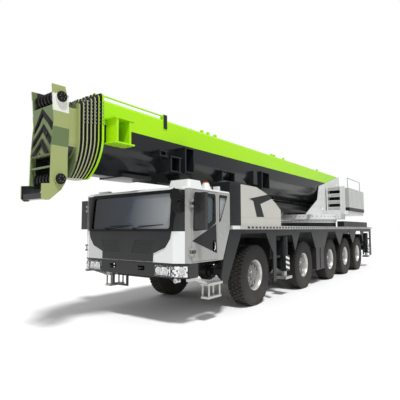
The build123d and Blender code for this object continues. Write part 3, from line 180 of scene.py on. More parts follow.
tyre_rubber = finish("tyre_rubber", (0.010, 0.010, 0.0105), 0.7, cloud=0.3, grain=160, bump=0.12, dust=0.22)
silver_paint = finish("silver_rim_paint", (0.70, 0.70, 0.69), 0.30, 0.55, coat=0.2, cloud=0.1, dust=0.4)
disc_paint = finish("wheel_disc_paint", (0.26, 0.26, 0.26), 0.4, metal=0.5, cloud=0.16, dust=0.3)
bare_steel = finish("bare_steel", (0.55, 0.55, 0.54), 0.32, metal=0.9, cloud=0.1)
black_plastic_and_painted_shade = finish("black_plastic_and_painted_shade", (0.009, 0.009, 0.010), 0.4, cloud=0.2, grain=240, bump=0.05)


def new_object(name, mesh):
    """Object that holds a mesh, linked to the scene."""
    made = bpy.data.objects.new(name, mesh)
    bpy.context.scene.collection.objects.link(made)
    return made


def lathe(name, outline, segments):
    """Mesh turned about Z from a list of (radius, z) points."""
    made = bmesh.new()
    rings = []
    for step in range(segments):
        turn = 2 * math.pi * step / segments
        rings.append([made.verts.new((r * math.cos(turn), r * math.sin(turn), z)) for r, z in outline])
    for step in range(segments):
        here, there = rings[step], rings[(step + 1) % segments]
        for k in range(len(outline)):
            n = (k + 1) % len(outline)
            made.faces.new((here[k], there[k], there[n], here[n]))
    bmesh.ops.remove_doubles(made, verts=made.verts, dist=1e-5)
    bmesh.ops.recalc_face_normals(made, faces=made.faces)
    mesh = bpy.data.meshes.new(name)
    made.to_mesh(mesh)
    made.free()
    return mesh


def copies_tree(name, on_ring):
    """Geometry Nodes tree that sets copies of one object on a ring or along a line."""
    tree = bpy.data.node_groups.new(name, "GeometryNodeTree")
    kinds = {
        "Geometry": "Geometry", "Item": "Object", "Count": "Int", "Radius": "Float",
        "Start": "Vector", "End": "Vector", "Finish": "Material",
    }
    for socket_name, kind in kinds.items():
        tree.interface.new_socket(socket_name, in_out="INPUT", socket_type=f"NodeSocket{kind}")
    tree.interface.new_socket("Geometry", in_out="OUTPUT", socket_type="NodeSocketGeometry")
    given = tree.nodes.new("NodeGroupInput")
    result = tree.nodes.new("NodeGroupOutput")
    item = tree.nodes.new("GeometryNodeObjectInfo")
    tree.links.new(given.outputs["Item"], item.inputs["Object"])
    copies = tree.nodes.new("GeometryNodeInstanceOnPoints")
    tree.links.new(item.outputs["Geometry"], copies.inputs["Instance"])
    if on_ring:
        points = tree.nodes.new("GeometryNodeMeshCircle")
        tree.links.new(given.outputs["Count"], points.inputs["Vertices"])
        tree.links.new(given.outputs["Radius"], points.inputs["Radius"])
        index = tree.nodes.new("GeometryNodeInputIndex")
        part = add_node(tree, "ShaderNodeMath", operation="DIVIDE")
        tree.links.new(index.outputs[0], part.inputs[0])
        tree.links.new(given.outputs["Count"], part.inputs[1])
        turn = add_node(tree, "ShaderNodeMath", operation="MULTIPLY")
        turn.inputs[1].default_value = 2 * math.pi
        tree.links.new(part.outputs[0], turn.inputs[0])
        angles = tree.nodes.new("ShaderNodeCombineXYZ")
        tree.links.new(turn.outputs[0], angles.inputs["Z"])
        tree.links.new(angles.outputs[0], copies.inputs["Rotation"])
    else:
        points = add_node(tree, "GeometryNodeMeshLine", mode="END_POINTS")
        tree.links.new(given.outputs["Count"], points.inputs["Count"])
        tree.links.new(given.outputs["Start"], points.inputs["Start Location"])
        tree.links.new(given.outputs["End"], points.inputs["Offset"])
    tree.links.new(points.outputs[0], copies.inputs["Points"])
    real = tree.nodes.new("GeometryNodeRealizeInstances")
    tree.links.new(copies.outputs[0], real.inputs[0])
    coat = tree.nodes.new("GeometryNodeSetMaterial")
    tree.links.new(real.outputs[0], coat.inputs["Geometry"])
    tree.links.new(given.outputs["Finish"], coat.inputs["Material"])
    tree.links.new(coat.outputs[0], result.inputs[0])
    return tree


ring_tree = copies_tree("copies_on_a_ring", True)
line_tree = copies_tree("copies_on_a_line", False)


def run_tree(tree, item_mesh, material, **values):
    """Plain mesh that a copies tree makes from one item."""
    item = new_object("item", item_mesh)
    holder = new_object("holder", bpy.data.meshes.new("holder"))
    modifier = holder.modifiers.new("copies", "NODES")
    modifier.node_group = tree
    values.update(Item=item, Finish=material)
    for socket in tree.interface.items_tree:
        if socket.in_out == "INPUT" and socket.name in values:
            modifier[socket.identifier] = values[socket.name]
    seen_by = bpy.context.evaluated_depsgraph_get()
    mesh = bpy.data.meshes.new_from_object(holder.evaluated_get(seen_by), depsgraph=seen_by)
    bpy.data.objects.remove(holder)
    bpy.data.objects.remove(item)
    return mesh


def ring_of(item_mesh, material, count, radius):
    """Copies of an item on a ring about Z, turned outwards."""
    return run_tree(ring_tree, item_mesh, material, Count=count, Radius=radius)


def row_of(item_mesh, material, count, start, end):
    """Copies of an item in a straight row."""
    return run_tree(line_tree, item_mesh, material, Count=count, Start=start, End=end)


def box_mesh(x, y, z, bevel=0.0):
    """Box between limits on each axis, with its edges eased."""
    made = bmesh.new()
    bmesh.ops.create_cube(made, size=1)
    for vert in made.verts:
        vert.co = Vector((
            x[0] + (vert.co.x + 0.5) * (x[1] - x[0]),
            y[0] + (vert.co.y + 0.5) * (y[1] - y[0]),
            z[0] + (vert.co.z + 0.5) * (z[1] - z[0]),
        ))
    if bevel:
        bmesh.ops.bevel(made, geom=made.edges[:], offset=bevel, segments=2, affect="EDGES", profile=0.6)
    bmesh.ops.recalc_face_normals(made, faces=made.faces)
    mesh = bpy.data.meshes.new("box")
    made.to_mesh(mesh)
    made.free()
    return mesh


def rod_mesh(radius, low, high, sides=12):
    """Closed bar along Z."""
    made = bmesh.new()
    bmesh.ops.create_cone(
        made, cap_ends=True, segments=sides, radius1=radius, radius2=radius, depth=high - low,
        matrix=Matrix.Translation((0, 0, (low + high) / 2)),
    )
    mesh = bpy.data.meshes.new("rod")
    made.to_mesh(mesh)
    made.free()
    return mesh


def joined(name, parts, smooth_angle=40):
    """One object from (mesh, material, matrix) parts."""
    made = bmesh.new()
    finishes = []
    for mesh, material, matrix in parts:
        if material not in finishes:
            finishes.append(material)
        first = len(made.faces)
        copy = mesh.copy()
        copy.transform(matrix)
        if matrix.determinant() < 0:
            copy.flip_normals()
        made.from_mesh(copy)
        made.faces.ensure_lookup_table()
        for face in made.faces[first:]:
            face.material_index = finishes.index(material)
            face.smooth = True
        bpy.data.meshes.remove(copy)
    for edge in made.edges:
        if len(edge.link_faces) == 2 and edge.calc_face_angle(0) > math.radians(smooth_angle):
            edge.smooth = False
    mesh = bpy.data.meshes.new(name)
    made.to_mesh(mesh)
    made.free()
    for material in finishes:
        mesh.materials.append(material)
    return new_object(name, mesh)


still = Matrix.Identity(4)
tyre_outline = [
    (0.335, -0.150), (0.352, -0.165), (0.40, -0.180), (0.50, -tyre_half), (0.58, -tyre_half + 0.004),
    (0.628, -0.176), (0.652, -0.160), (wheel_radius - lug_depth, -0.140),
    (wheel_radius - lug_depth, 0.140), (0.652, 0.160), (0.628, 0.176), (0.58, tyre_half - 0.004),
    (0.50, tyre_half), (0.40, 0.180), (0.352, 0.165), (0.335, 0.150),
]
tyre_mesh = lathe("tyre", tyre_outline, 56)
lug_count = 44
lug_rooting = 0.02
lug_half_length = 0.036
lug_top_radius = wheel_radius - 0.0008
tread_rows = ((-0.172, -0.098, 0.0), (-0.086, -0.008, 0.5), (0.008, 0.086, 0.0), (0.098, 0.172, 0.5))
tread_parts = []
for low, high, skew in tread_rows:
    lug = box_mesh((-lug_depth - lug_rooting, 0.0), (-lug_half_length, lug_half_length), (low, high))
    tread_parts.append((
        ring_of(lug, tyre_rubber, lug_count, lug_top_radius),
        tyre_rubber,
        Matrix.Rotation(2 * math.pi * skew / lug_count, 4, "Z"),
    ))
rim_outline = [
    (0.352, 0.148), (0.352, 0.156), (0.340, 0.158), (0.326, 0.146), (0.312, 0.110), (0.306, 0.060),
    (0.300, 0.030), (0.300, -0.120), (0.330, -0.150), (0.352, -0.156), (0.352, -0.148), (0.318, -0.100),
    (0.318, 0.100), (0.334, 0.140),
]
rim_mesh = lathe("rim", rim_outline, 48)
disc_outline = [
    (0.304, 0.020), (0.262, 0.052), (0.232, 0.072), (0.155, 0.076), (0.155, 0.060), (0.225, 0.056),
    (0.255, 0.038), (0.300, 0.004),
]
disc_mesh = lathe("disc", disc_outline, 60)
hand_hole_radius = 0.034
hand_hole_ring = 0.243
holes = ring_of(rod_mesh(hand_hole_radius, -0.02, 0.12, 16), black_plastic_and_painted_shade, 10, hand_hole_ring)
disc_object, holes_object = new_object("disc", disc_mesh), new_object("holes", holes)
cut = disc_object.modifiers.new("hand_holes", "BOOLEAN")
cut.operation = "DIFFERENCE"
cut.object = holes_object
seen_by = bpy.context.evaluated_depsgraph_get()
pressed_disc = bpy.data.meshes.new_from_object(disc_object.evaluated_get(seen_by), depsgraph=seen_by)
bpy.data.objects.remove(disc_object)
bpy.data.objects.remove(holes_object)
hub_outline = [
    (0.0, 0.150), (0.060, 0.150), (0.068, 0.143), (0.070, 0.128), (0.105, 0.120), (0.118, 0.108),
    (0.122, 0.080), (0.160, 0.078), (0.160, 0.050), (0.0, 0.050),
]
hub_mesh = lathe("hub", hub_outline, 32)
nut_ring = 0.182
cover_bolt_ring = 0.094
nuts = ring_of(rod_mesh(0.0145, 0.074, 0.104, 6), bare_steel, 10, nut_ring)
cover_bolts = ring_of(rod_mesh(0.007, 0.110, 0.126, 6), bare_steel, 12, cover_bolt_ring)
# Painted shade: a black ring behind the disc, so the hand holes show dark.
shade_behind_hand_holes = lathe("shade_behind_hand_holes", [(0.30, -0.02), (0.30, -0.03), (0.12, -0.03), (0.12, -0.02)], 32)
sides = ((1, "left"), (-1, "right"))
turn_per_axle = 0.3
for number, x in enumerate(axle_x, start=1):
    for side, name in sides:
        node = f"wheel_{number}_{name}"
        centre = Vector((x, side * wheel_y, wheel_radius))
        stand = Matrix.Translation(centre) @ Matrix.Rotation(-side * math.pi / 2, 4, "X")
        stand = stand @ Matrix.Rotation(turn_per_axle * number, 4, "Z")
        parts = [(tyre_mesh, tyre_rubber, stand)]
        parts += [(mesh, material, stand @ turn) for mesh, material, turn in tread_parts]
        parts += [
            (rim_mesh, silver_paint, stand), (pressed_disc, disc_paint, stand),
            (hub_mesh, disc_paint, stand), (nuts, bare_steel, stand),
            (cover_bolts, bare_steel, stand), (shade_behind_hand_holes, black_plastic_and_painted_shade, stand),
        ]
        wheel = joined(f"tyre_and_rim_{number}_{name}", parts)
        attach(wheel, node)
        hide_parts(node)

# Boom: a welded steel base box and six nested sections, laid low over the cab for the road.
# The upper half of the base is sprayed lime and its trough dark grey, and its front collar is lime.
# The sections inside are black, with a pale olive edge round each collar's front, lime on the first.
joints = {joint["name"]: joint for joint in frame["record"]["behaviour"]["joints"]}
boom_pivot = Vector(joints["boom_luff"]["pos_m"])
boom_line = joints["telescope_1"]["axis"]
boom_tilt = math.atan2(-boom_line[2], boom_line[0])
boom_stand = Matrix.Translation(boom_pivot) @ Matrix.Rotation(boom_tilt, 4, "Y")
paint_line = 0.038
collar_s = 12.96
collar_thickness = 0.044
collar_pitch = 0.05
section_step = 0.034
boom_half = 0.5
boom_top = 0.475
boom_low = -0.769
flank_clear = boom_half + 0.004
jib_bracket = (12.42, 12.87)
dark_brackets = ((11.06, 11.75), (10.6, 11.05), (8.7, 9.45), (6.9, 7.84))
section_black = (0.012, 0.013, 0.012)
lime = (0.38, 0.76, 0.004)
charcoal = (0.013, 0.0145, 0.016)


def where(tree, axis, low, high, along_boom=False):
    """One where the Object coordinate, or that along the boom, lies between two values."""
    place = add_node(tree, "ShaderNodeTexCoord").outputs["Object"]
    if along_boom:
        turned = add_node(tree, "ShaderNodeMapping", vector_type="TEXTURE")
        turned.inputs["Location"].default_value = boom_pivot
        turned.inputs["Rotation"].default_value = (0, boom_tilt, 0)
        tree.links.new(place, turned.inputs["Vector"])
        place = turned.outputs[0]
    axes = add_node(tree, "ShaderNodeSeparateXYZ")
    tree.links.new(place, axes.inputs[0])
    above = add_node(tree, "ShaderNodeMath", operation="GREATER_THAN")
    above.inputs[1].default_value = low
    below = add_node(tree, "ShaderNodeMath", operation="LESS_THAN")
    below.inputs[1].default_value = high
    both = add_node(tree, "ShaderNodeMath", operation="MULTIPLY")
    tree.links.new(axes.outputs[axis], above.inputs[0])
    tree.links.new(axes.outputs[axis], below.inputs[0])
    tree.links.new(above.outputs[0], both.inputs[0])
    tree.links.new(below.outputs[0], both.inputs[1])
    return both.outputs[0]


def overpaint(material, masks, colour):
    """Second colour over a finish, where all the masks are one."""
    tree = material.node_tree
    shader = tree.nodes["Principled BSDF"]
    first = shader.inputs["Base Color"].links[0].from_socket
    last = masks[0]
    for mask in masks[1:]:
        product = add_node(tree, "ShaderNodeMath", operation="MULTIPLY")
        tree.links.new(last, product.inputs[0])
        tree.links.new(mask, product.inputs[1])
        last = product.outputs[0]
    over = add_node(tree, "ShaderNodeMix", data_type="RGBA")
    over.inputs["B"].default_value = (*colour, 1)
    tree.links.new(last, over.inputs["Factor"])
    tree.links.new(first, over.inputs["A"])
    tree.links.new(over.outputs["Result"], shader.inputs["Base Color"])


def dress(material, *nodes):
    """Gives CAD nodes their finish."""
    for name in nodes:
        for slot in frame["nodes"][name].material_slots:
            slot.material = material


base_paint = finish("boom_base_paint", charcoal, 0.24, coat=0.35, cloud=0.14, bump=0.004)
tree = base_paint.node_tree
overpaint(base_paint, [where(tree, "Z", paint_line, 2, True)], lime)
collar_face = collar_s - 0.001
overpaint(base_paint, [where(tree, "X", collar_face - collar_thickness, collar_face, True)], lime)
overpaint(base_paint, [where(tree, "X", collar_face, 14, True)], charcoal)
overpaint(base_paint, [where(tree, "X", *jib_bracket, True), where(tree, "Y", flank_clear, 1)], lime)
for reach in dark_brackets:
    overpaint(base_paint, [where(tree, "X", *reach, True), where(tree, "Y", flank_clear, 1)], charcoal)
dress(base_paint, "boom_base")
for number in range(2, 7):
    colour = (0.42, 0.62, 0.05) if number == 2 else (0.42, 0.44, 0.24)
    section_paint = finish(f"boom_section_{number}_paint", section_black, 0.34, coat=0.3, cloud=0.08)
    front = collar_s + (number - 1) * collar_pitch
    edge = where(section_paint.node_tree, "X", front - 0.024, front - 0.001, True)
    overpaint(section_paint, [edge], colour)
    dress(section_paint, f"boom_section_{number}")

# Boom head: two thick side plates carry the sheaves, with a bent marker plate between them. They are
# painted olive, the boom's lime with painted shade. A dark olive and a white band are sprayed across the
# plates' flanks. The sheaves are black nylon.
# Painted shade: the head's lime is given as a darker olive.
head_paint = finish("boom_head_paint", (0.34, 0.39, 0.15), 0.32, coat=0.35, cloud=0.07)
tree = head_paint.node_tree
head_inner = 0.2865
plate_start = 13.4
bands = (
    (-0.42, -0.12, (0.12, 0.17, 0.07)),
    (0.13, 0.40, (0.74, 0.75, 0.70)),
)
for low, high, colour in bands:
    for y in ((head_inner, 1), (-1, -head_inner)):
        plate = [where(tree, "Z", low, high, True), where(tree, "Y", *y)]
        overpaint(head_paint, plate + [where(tree, "X", plate_start, 14, True)], colour)
between = where(tree, "Y", -head_inner, head_inner)
# Painted shade: between the side plates, the marker plate and the head are painted a darker olive.
overpaint(head_paint, [between], (0.15, 0.20, 0.08))
overpaint(head_paint, [between, where(tree, "X", 13.3, 13.615, True)], section_black)
overpaint(head_paint, [between, where(tree, "Z", -1.4, -1.02, True)], charcoal)
tip_front = collar_s + 6 * collar_pitch
overpaint(head_paint, [where(tree, "X", 0, tip_front - 0.024, True)], section_black)
dress(head_paint, "boom_tip")
dress(black_plastic_and_painted_shade, "head_sheaves_upper", "head_sheaves_lower")

# Wear pads: each collar is a steel ring that guides the section inside it.
# Hexagon bolts hold the pads on both flanks, and black nylon pads stand along the top.
def piece(name, body, parts, smooth_angle=40):
    """Joined parts that ride on a body, with the slot that names their finish."""
    made = joined(name, parts, smooth_angle)
    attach(made, body)


collar_names = ["boom_base"] + [f"boom_section_{n}" for n in range(2, 7)]
for order, body in enumerate(collar_names):
    front = collar_s + order * collar_pitch
    half = boom_half - order * section_step
    face_y = half + 0.072
    pad_y = half * 0.75
    pad_x = front + 0.012
    pad_z = boom_top - order * section_step + 0.03
    bolts = []
    bolt = rod_mesh(0.014, 0.0, 0.012, 6)
    for side in (1, -1):
        flank = Matrix.Translation((front - collar_thickness / 2, side * face_y, 0))
        flank = flank @ Matrix.Rotation(-side * math.pi / 2, 4, "X")
        row = row_of(bolt, bare_steel, 7, (0, side * 0.02, 0), (0, side * 0.38, 0))
        bolts.append((row, bare_steel, boom_stand @ flank @ Matrix.Scale(-1, 4, (0, 1, 0))))
    pad = box_mesh((-0.016, 0.0), (-0.05, 0.05), (-0.02, 0.02), 0.003)
    pads = row_of(pad, black_plastic_and_painted_shade, 4, (pad_x, -pad_y, pad_z), (pad_x, pad_y, pad_z))
    bolts.append((pads, black_plastic_and_painted_shade, boom_stand))
    piece(f"wear_pad_bolts_{order + 1}", body, bolts)

# Chevrons on the boom's head: black film on the marker plate between the sheaves, points up; the plate's
# darker olive is painted shade.
# The plate is folded across its middle, so each stripe is laid on both halves in narrow strips.
marker_half = 0.262
marker_low = -0.55
marker_front = 13.654
fold_height = -0.04
fold_depth = 0.030
fold_reach = 0.26
film = (0.001, 0.004)
stripe_height = 0.125
strips = 9


def chevron_mesh(apex):
    """Stripe that falls from its apex to both edges of the folded marker plate."""
    made = bmesh.new()
    for side in (1, -1):
        for k in range(strips):
            ys = [marker_half * (k + end) / strips for end in (0, 1)]
            tops = [max(apex - y, marker_low) for y in ys]
            lows = [max(apex - stripe_height - y, marker_low) for y in ys]
            if max(tops) - min(lows) < 0.002:
                continue
            corners = [(ys[0], lows[0]), (ys[1], lows[1]), (ys[1], tops[1]), (ys[0], tops[0])]
            skin = []
            for depth in film:
                ring = []
                for y, h in corners:
                    fold = marker_front + fold_depth * min(abs(h - fold_height) / fold_reach, 1.9)
                    ring.append(made.verts.new((fold + depth, side * y, h)))
                skin.append(ring)
            made.faces.new(skin[0])
            made.faces.new(skin[1][::-1])
            for j in range(4):
                n = (j + 1) % 4
                made.faces.new((skin[0][j], skin[1][j], skin[1][n], skin[0][n]))
    bmesh.ops.remove_doubles(made, verts=made.verts, dist=1e-5)
    bmesh.ops.recalc_face_normals(made, faces=made.faces)
    mesh = bpy.data.meshes.new("chevron")
    made.to_mesh(mesh)
    made.free()
    return mesh


apexes = (0.205, -0.035, -0.275, -0.515)
stripes = [(chevron_mesh(apex), black_plastic_and_painted_shade, boom_stand) for apex in apexes]
piece("head_chevrons", "boom_tip", stripes)

# Sheave pins at the head: a turned black cap closes each end of the two pins.
# Six small bolts in a ring hold a cap to the head's side plate.
pins = []
pin_s = 13.559
pin_heights = (0.36, -0.94)
cap_y = 0.312
cap_outline = [(0, 0.062), (0.06, 0.062), (0.082, 0.055), (0.086, 0.03), (0.086, 0.0), (0, 0.0)]
cap = lathe("cap", cap_outline, 28)
cap_bolts = ring_of(rod_mesh(0.006, 0.058, 0.068, 6), bare_steel, 6, 0.045)
for h in pin_heights:
    for side in (1, -1):
        turn = Matrix.Translation((pin_s, side * cap_y, h)) @ Matrix.Rotation(-side * math.pi / 2, 4, "X")
        pins.append((cap, black_plastic_and_painted_shade, boom_stand @ turn))
        pins.append((cap_bolts, bare_steel, boom_stand @ turn))
piece("head_pin_caps", "boom_tip", pins)

# Underside of the boom: a pair of black pipes feeds the cylinders inside.
# Pressed clamps in a row hold them against the trough, in the carrier's dark grey.
grey_paint = finish("carrier_grey_paint", charcoal, 0.42, coat=0.05, cloud=0.16, dust=0.12)
pipe_start, pipe_end = 0.6, 5.6
pipe_y = 0.09
pipe_z = boom_low - 0.02


def tube_mesh(points, radius, sides=10, cyclic=False):
    """Round bar swept through points, as a curve made into a mesh."""
    curve = bpy.data.curves.new("tube", "CURVE")
    curve.dimensions = "3D"
    curve.bevel_depth = radius
    curve.bevel_resolution = max(sides // 4 - 1, 1)
    curve.use_fill_caps = True
    line = curve.splines.new("POLY")
    line.points.add(len(points) - 1)
    for point, place in zip(line.points, points):
        point.co = (*place, 1)
    line.use_cyclic_u = cyclic
    holder = bpy.data.objects.new("tube", curve)
    mesh = bpy.data.meshes.new_from_object(holder)
    bpy.data.objects.remove(holder)
    return mesh


pipes = []
for side in (1, -1):
    pipe = tube_mesh([(pipe_start, side * pipe_y, pipe_z), (pipe_end, side * pipe_y, pipe_z)], 0.019)
    pipes.append((pipe, black_plastic_and_painted_shade, boom_stand))
clamp = box_mesh((-0.02, 0.02), (-0.13, 0.13), (boom_low - 0.042, boom_low + 0.002), 0.004)
pipes.append((row_of(clamp, grey_paint, 6, (0.9, 0, 0), (5.3, 0, 0)), grey_paint, boom_stand))
piece("boom_pipes", "boom_base", pipes)

# Jib bracket: a lime steel box on the boom's left flank, where a fly jib can be pinned.
# Five bolts along each of its two flanges point away from it.
jib = []
flange_y = 0.72
bolt_height = 0.012
for h, reach in ((-0.30, (-bolt_height, 0.0)), (0.14, (0.0, bolt_height))):
    head = rod_mesh(0.012, *reach, 6)
    heads = row_of(head, bare_steel, 5, (12.5, flange_y, h), (12.8, flange_y, h))
    jib.append((heads, bare_steel, boom_stand))
piece("jib_bracket_bolts", "boom_base", jib)

# Luffing cylinder: it raises the boom from the turntable.
# Its steel barrel is painted dark grey, and its rod is ground and chromed.
barrel_paint = finish("barrel_paint", charcoal, 0.38, coat=0.2, cloud=0.12)
chrome = finish("chrome_plate", (0.78, 0.78, 0.78), 0.12, metal=1.0, cloud=0.04, bump=0.005)
dress(barrel_paint, "luff_barrel")
dress(chrome, "luff_rod")

# Carrier: the welded frame, the axles and the bolted side skirts are sprayed dark grey.
# The deck is light grey sheet with a rough coat, and its edge has a row of square lashing holes, drawn as
# black patches of painted shade.
dress(grey_paint, "chassis", "skirts", "air_towers", "axles")
for number in (1, 2, 5):
    dress(grey_paint, f"knuckle_{number}_left", f"knuckle_{number}_right")
deck_paint = finish("deck_paint", (0.46, 0.46, 0.44), 0.5, cloud=0.1, grain=60, bump=0.05)
dress(deck_paint, "deck")
white_paint = finish("white_paint", (0.72, 0.73, 0.73), 0.28, coat=0.35, cloud=0.05, dust=0.3)
deck_parts = []
deck_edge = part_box("deck")[1][1]
first_hole_x, last_hole_x = 4.05, -7.2
for side in (1, -1):
    y = side * deck_edge
    # Painted shade: each lashing hole is a thin black patch on the deck's edge.
    hole = box_mesh((-0.05, 0.05), (y - 0.0015, y + 0.0015), (1.738, 1.782))
    holes = row_of(hole, black_plastic_and_painted_shade, 64, (first_hole_x, 0, 0), (last_hole_x, 0, 0))
    deck_parts.append((holes, black_plastic_and_painted_shade, still))
    plate = box_mesh((4.43, 4.72), (y - 0.001, y + 0.0016), (1.73, 1.79), 0.0008)
    deck_parts.append((plate, white_paint, still))
piece("lashing_holes", "carrier", deck_parts)

# Engine housing: warm grey sheet steel with a pressed ledge and a dark painted boomerang on each side.
# The dark towers ahead of it carry the air intake's slats. All of it is bolted to the carrier.
housing_paint = finish("housing_paint", (0.50, 0.49, 0.45), 0.34, coat=0.25, cloud=0.05)
light_grey_paint = finish("light_grey_paint", (0.50, 0.50, 0.47), 0.36, coat=0.2, cloud=0.06)
dress(housing_paint, "engine_housing")
cast_iron = finish("cast_iron", (0.10, 0.10, 0.10), 0.6, metal=0.4, cloud=0.2, bump=0.15)
dress(cast_iron, "engine")
boomerang = [
    (3.93, 2.40), (3.00, 2.56), (2.80, 2.47), (3.40, 2.31), (3.22, 2.01), (3.58, 2.00), (3.74, 2.36),
]
body_half = 1.45


def prism(outline, y):
    """Plate whose outline lies in X and Z, between two values of Y."""
    made = bmesh.new()
    near = [made.verts.new((x, y[0], z)) for x, z in outline]
    far = [made.verts.new((x, y[1], z)) for x, z in outline]
    made.faces.new(near)
    made.faces.new(far[::-1])
    for k in range(len(outline)):
        n = (k + 1) % len(outline)
        made.faces.new((near[k], far[k], far[n], near[n]))
    bmesh.ops.recalc_face_normals(made, faces=made.faces)
    mesh = bpy.data.meshes.new("prism")
    made.to_mesh(mesh)
    made.free()
    return mesh


housing_parts = []
for side in (1, -1):
    y = sorted((side * (body_half + 0.0005), side * (body_half + 0.0035)))
    housing_parts.append((prism(boomerang, y), grey_paint, still))
    housing_parts.append((box_mesh((2.30, 4.28), y, (1.985, 2.005), 0.001), light_grey_paint, still))
    tower_slat = box_mesh((4.34, 4.69), y, (0.0, 0.02), 0.0008)
    slats = row_of(tower_slat, black_plastic_and_painted_shade, 14, (0, 0, 1.88), (0, 0, 2.6))
    housing_parts.append((slats, black_plastic_and_painted_shade, still))
piece("housing_panels", "carrier", housing_parts, 30)

# Driver's cab: a steel shell, white on the roof and the front corners and grey on the flanks.
# The pillars beside the windscreen are black, and so is the moulded mask below it.
cab_paint = finish("cab_paint", (0.74, 0.75, 0.75), 0.26, coat=0.4, cloud=0.05, dust=0.15)
tree = cab_paint.node_tree
cab_grey = (0.30, 0.30, 0.29)
pillar_black = (0.010, 0.011, 0.012)
corner_x = 6.049
flank_top = 2.455
pillar_heights = (1.69, 2.43)
for y in ((1.1, 2), (-2, -1.1)):
    flank = [where(tree, "Y", *y), where(tree, "X", 4, corner_x), where(tree, "Z", 0, flank_top)]
    overpaint(cab_paint, flank, cab_grey)
    pillar = [where(tree, "Y", *y), where(tree, "X", corner_x, 6.3), where(tree, "Z", *pillar_heights)]
    overpaint(cab_paint, pillar, pillar_black)
# Painted shade: the shell beyond 1.37 m from the middle is painted flank grey, so the white swept front
# corners turn grey as in shade.
for y in ((1.37, 2), (-2, -1.37)):
    overpaint(cab_paint, [where(tree, "Y", *y), where(tree, "Z", 0, flank_top)], cab_grey)
dress(cab_paint, "cab_shell")

# Cab glass and seats: the panes are tinted glass, and the windscreen carries a painted reflection of the
# white room, its colour running from near black to pale grey on the driver's side. The seats and the
# dashboard behind are in dark cloth.
window_tint = (0.10, 0.13, 0.16)


def pane(name, colour, clear):
    """Tinted window glass."""
    made = bpy.data.materials.new(name)
    made.use_nodes = True
    shader = made.node_tree.nodes["Principled BSDF"]
    shader.inputs["Base Color"].default_value = (*colour, 1)
    shader.inputs["Transmission Weight"].default_value = clear
    shader.inputs["Roughness"].default_value = 0.03
    shader.inputs["IOR"].default_value = 1.45
    shader.inputs["Coat Weight"].default_value = 0.6
    shader.inputs["Coat Roughness"].default_value = 0.02
    return made


window_glass = pane("window_glass", window_tint, 0.55)
seat_cloth = finish("seat_cloth", (0.05, 0.05, 0.055), 0.9, cloud=0.2, grain=420, bump=0.3)
screen_glass = pane("windscreen_glass", window_tint, 0.35)
tree = screen_glass.node_tree
across = add_node(tree, "ShaderNodeSeparateXYZ")
tree.links.new(add_node(tree, "ShaderNodeTexCoord").outputs["Object"], across.inputs[0])
# Painted reflection: the windscreen's colour ramps across its width from near black to pale grey.
share = add_node(tree, "ShaderNodeMapRange", From_Min=-1.1, From_Max=1.1)
tree.links.new(across.outputs["Y"], share.inputs["Value"])
tone_and_painted_reflection = add_node(tree, "ShaderNodeValToRGB")
tone_and_painted_reflection.color_ramp.elements[0].color = (0.010, 0.012, 0.016, 1)
tone_and_painted_reflection.color_ramp.elements[1].color = (0.42, 0.44, 0.46, 1)
tone_and_painted_reflection.color_ramp.elements.new(0.5).color = (0.05, 0.07, 0.10, 1)
tree.links.new(share.outputs[0], tone_and_painted_reflection.inputs[0])
tree.links.new(tone_and_painted_reflection.outputs[0], tree.nodes["Principled BSDF"].inputs["Base Color"])
dress(screen_glass, "cab_glass")
dress(window_glass, "door_glass_left", "door_glass_right", "operator_cab_glass")
dress(seat_cloth, "cab_interior")

# Bumper, steps, mirrors and doors: bumper and front mask are dark mouldings, and the mask's recess is
# painted near black as shade.
# The entry steps are bare tread metal, and the mirror housings are black plastic.
# The doors are grey sheet, hung on outside hinges, with their black mirror blades fixed to them.
recess_painted_shade = (0.002, 0.002, 0.002)
blade_black = (0.018, 0.018, 0.02)
bumper_paint = finish("bumper_paint", (0.013, 0.014, 0.016), 0.36, coat=0.3, cloud=0.12, dust=0.06)
tree = bumper_paint.node_tree
# Painted shade: the recess in the front mask is darkened to near black.
overpaint(bumper_paint, [where(tree, "X", 6.15, 6.2085), where(tree, "Z", 1.28, 1.53)], recess_painted_shade)
dress(bumper_paint, "bumper")
dress(black_plastic_and_painted_shade, "front_mirrors")
tread_metal = finish("tread_metal", (0.62, 0.62, 0.6), 0.4, metal=0.7, cloud=0.12, dust=0.4)
door_paint = finish("door_paint", cab_grey, 0.28, coat=0.35, cloud=0.05, dust=0.3)
for y in ((body_half + 0.03, 3), (-3, -body_half - 0.03)):
    overpaint(door_paint, [where(door_paint.node_tree, "Y", *y)], blade_black)
dress(tread_metal, "cab_steps")
dress(door_paint, "door_left", "door_right")

# Pane edges: a black printed edge runs wide round the windscreen, which is bonded to the raked front.
# Narrow rubber profiles hold the quarter panes on the flanks.
cab_front = 6.2
front_rake = 0.08
screen_low = 1.69
roof_z = 2.49
skin_gap = 0.0006


def rounded(corners, radius):
    """Outline with each corner turned by a short curve."""
    steps = 4
    points = []
    for k, corner in enumerate(corners):
        here = Vector(corner)
        before = (Vector(corners[k - 1]) - here).normalized() * radius
        after = (Vector(corners[(k + 1) % len(corners)]) - here).normalized() * radius
        for step in range(steps + 1):
            t = step / steps
            points.append(tuple(here + before * (1 - t) ** 2 + after * t ** 2))
    return points


def grown(corners, amount):
    """Outline moved outwards from its middle by about an amount."""
    middle = sum((Vector(c) for c in corners), Vector((0, 0))) / len(corners)
    return [tuple(Vector(c) + (Vector(c) - middle).normalized() * amount * 1.4) for c in corners]


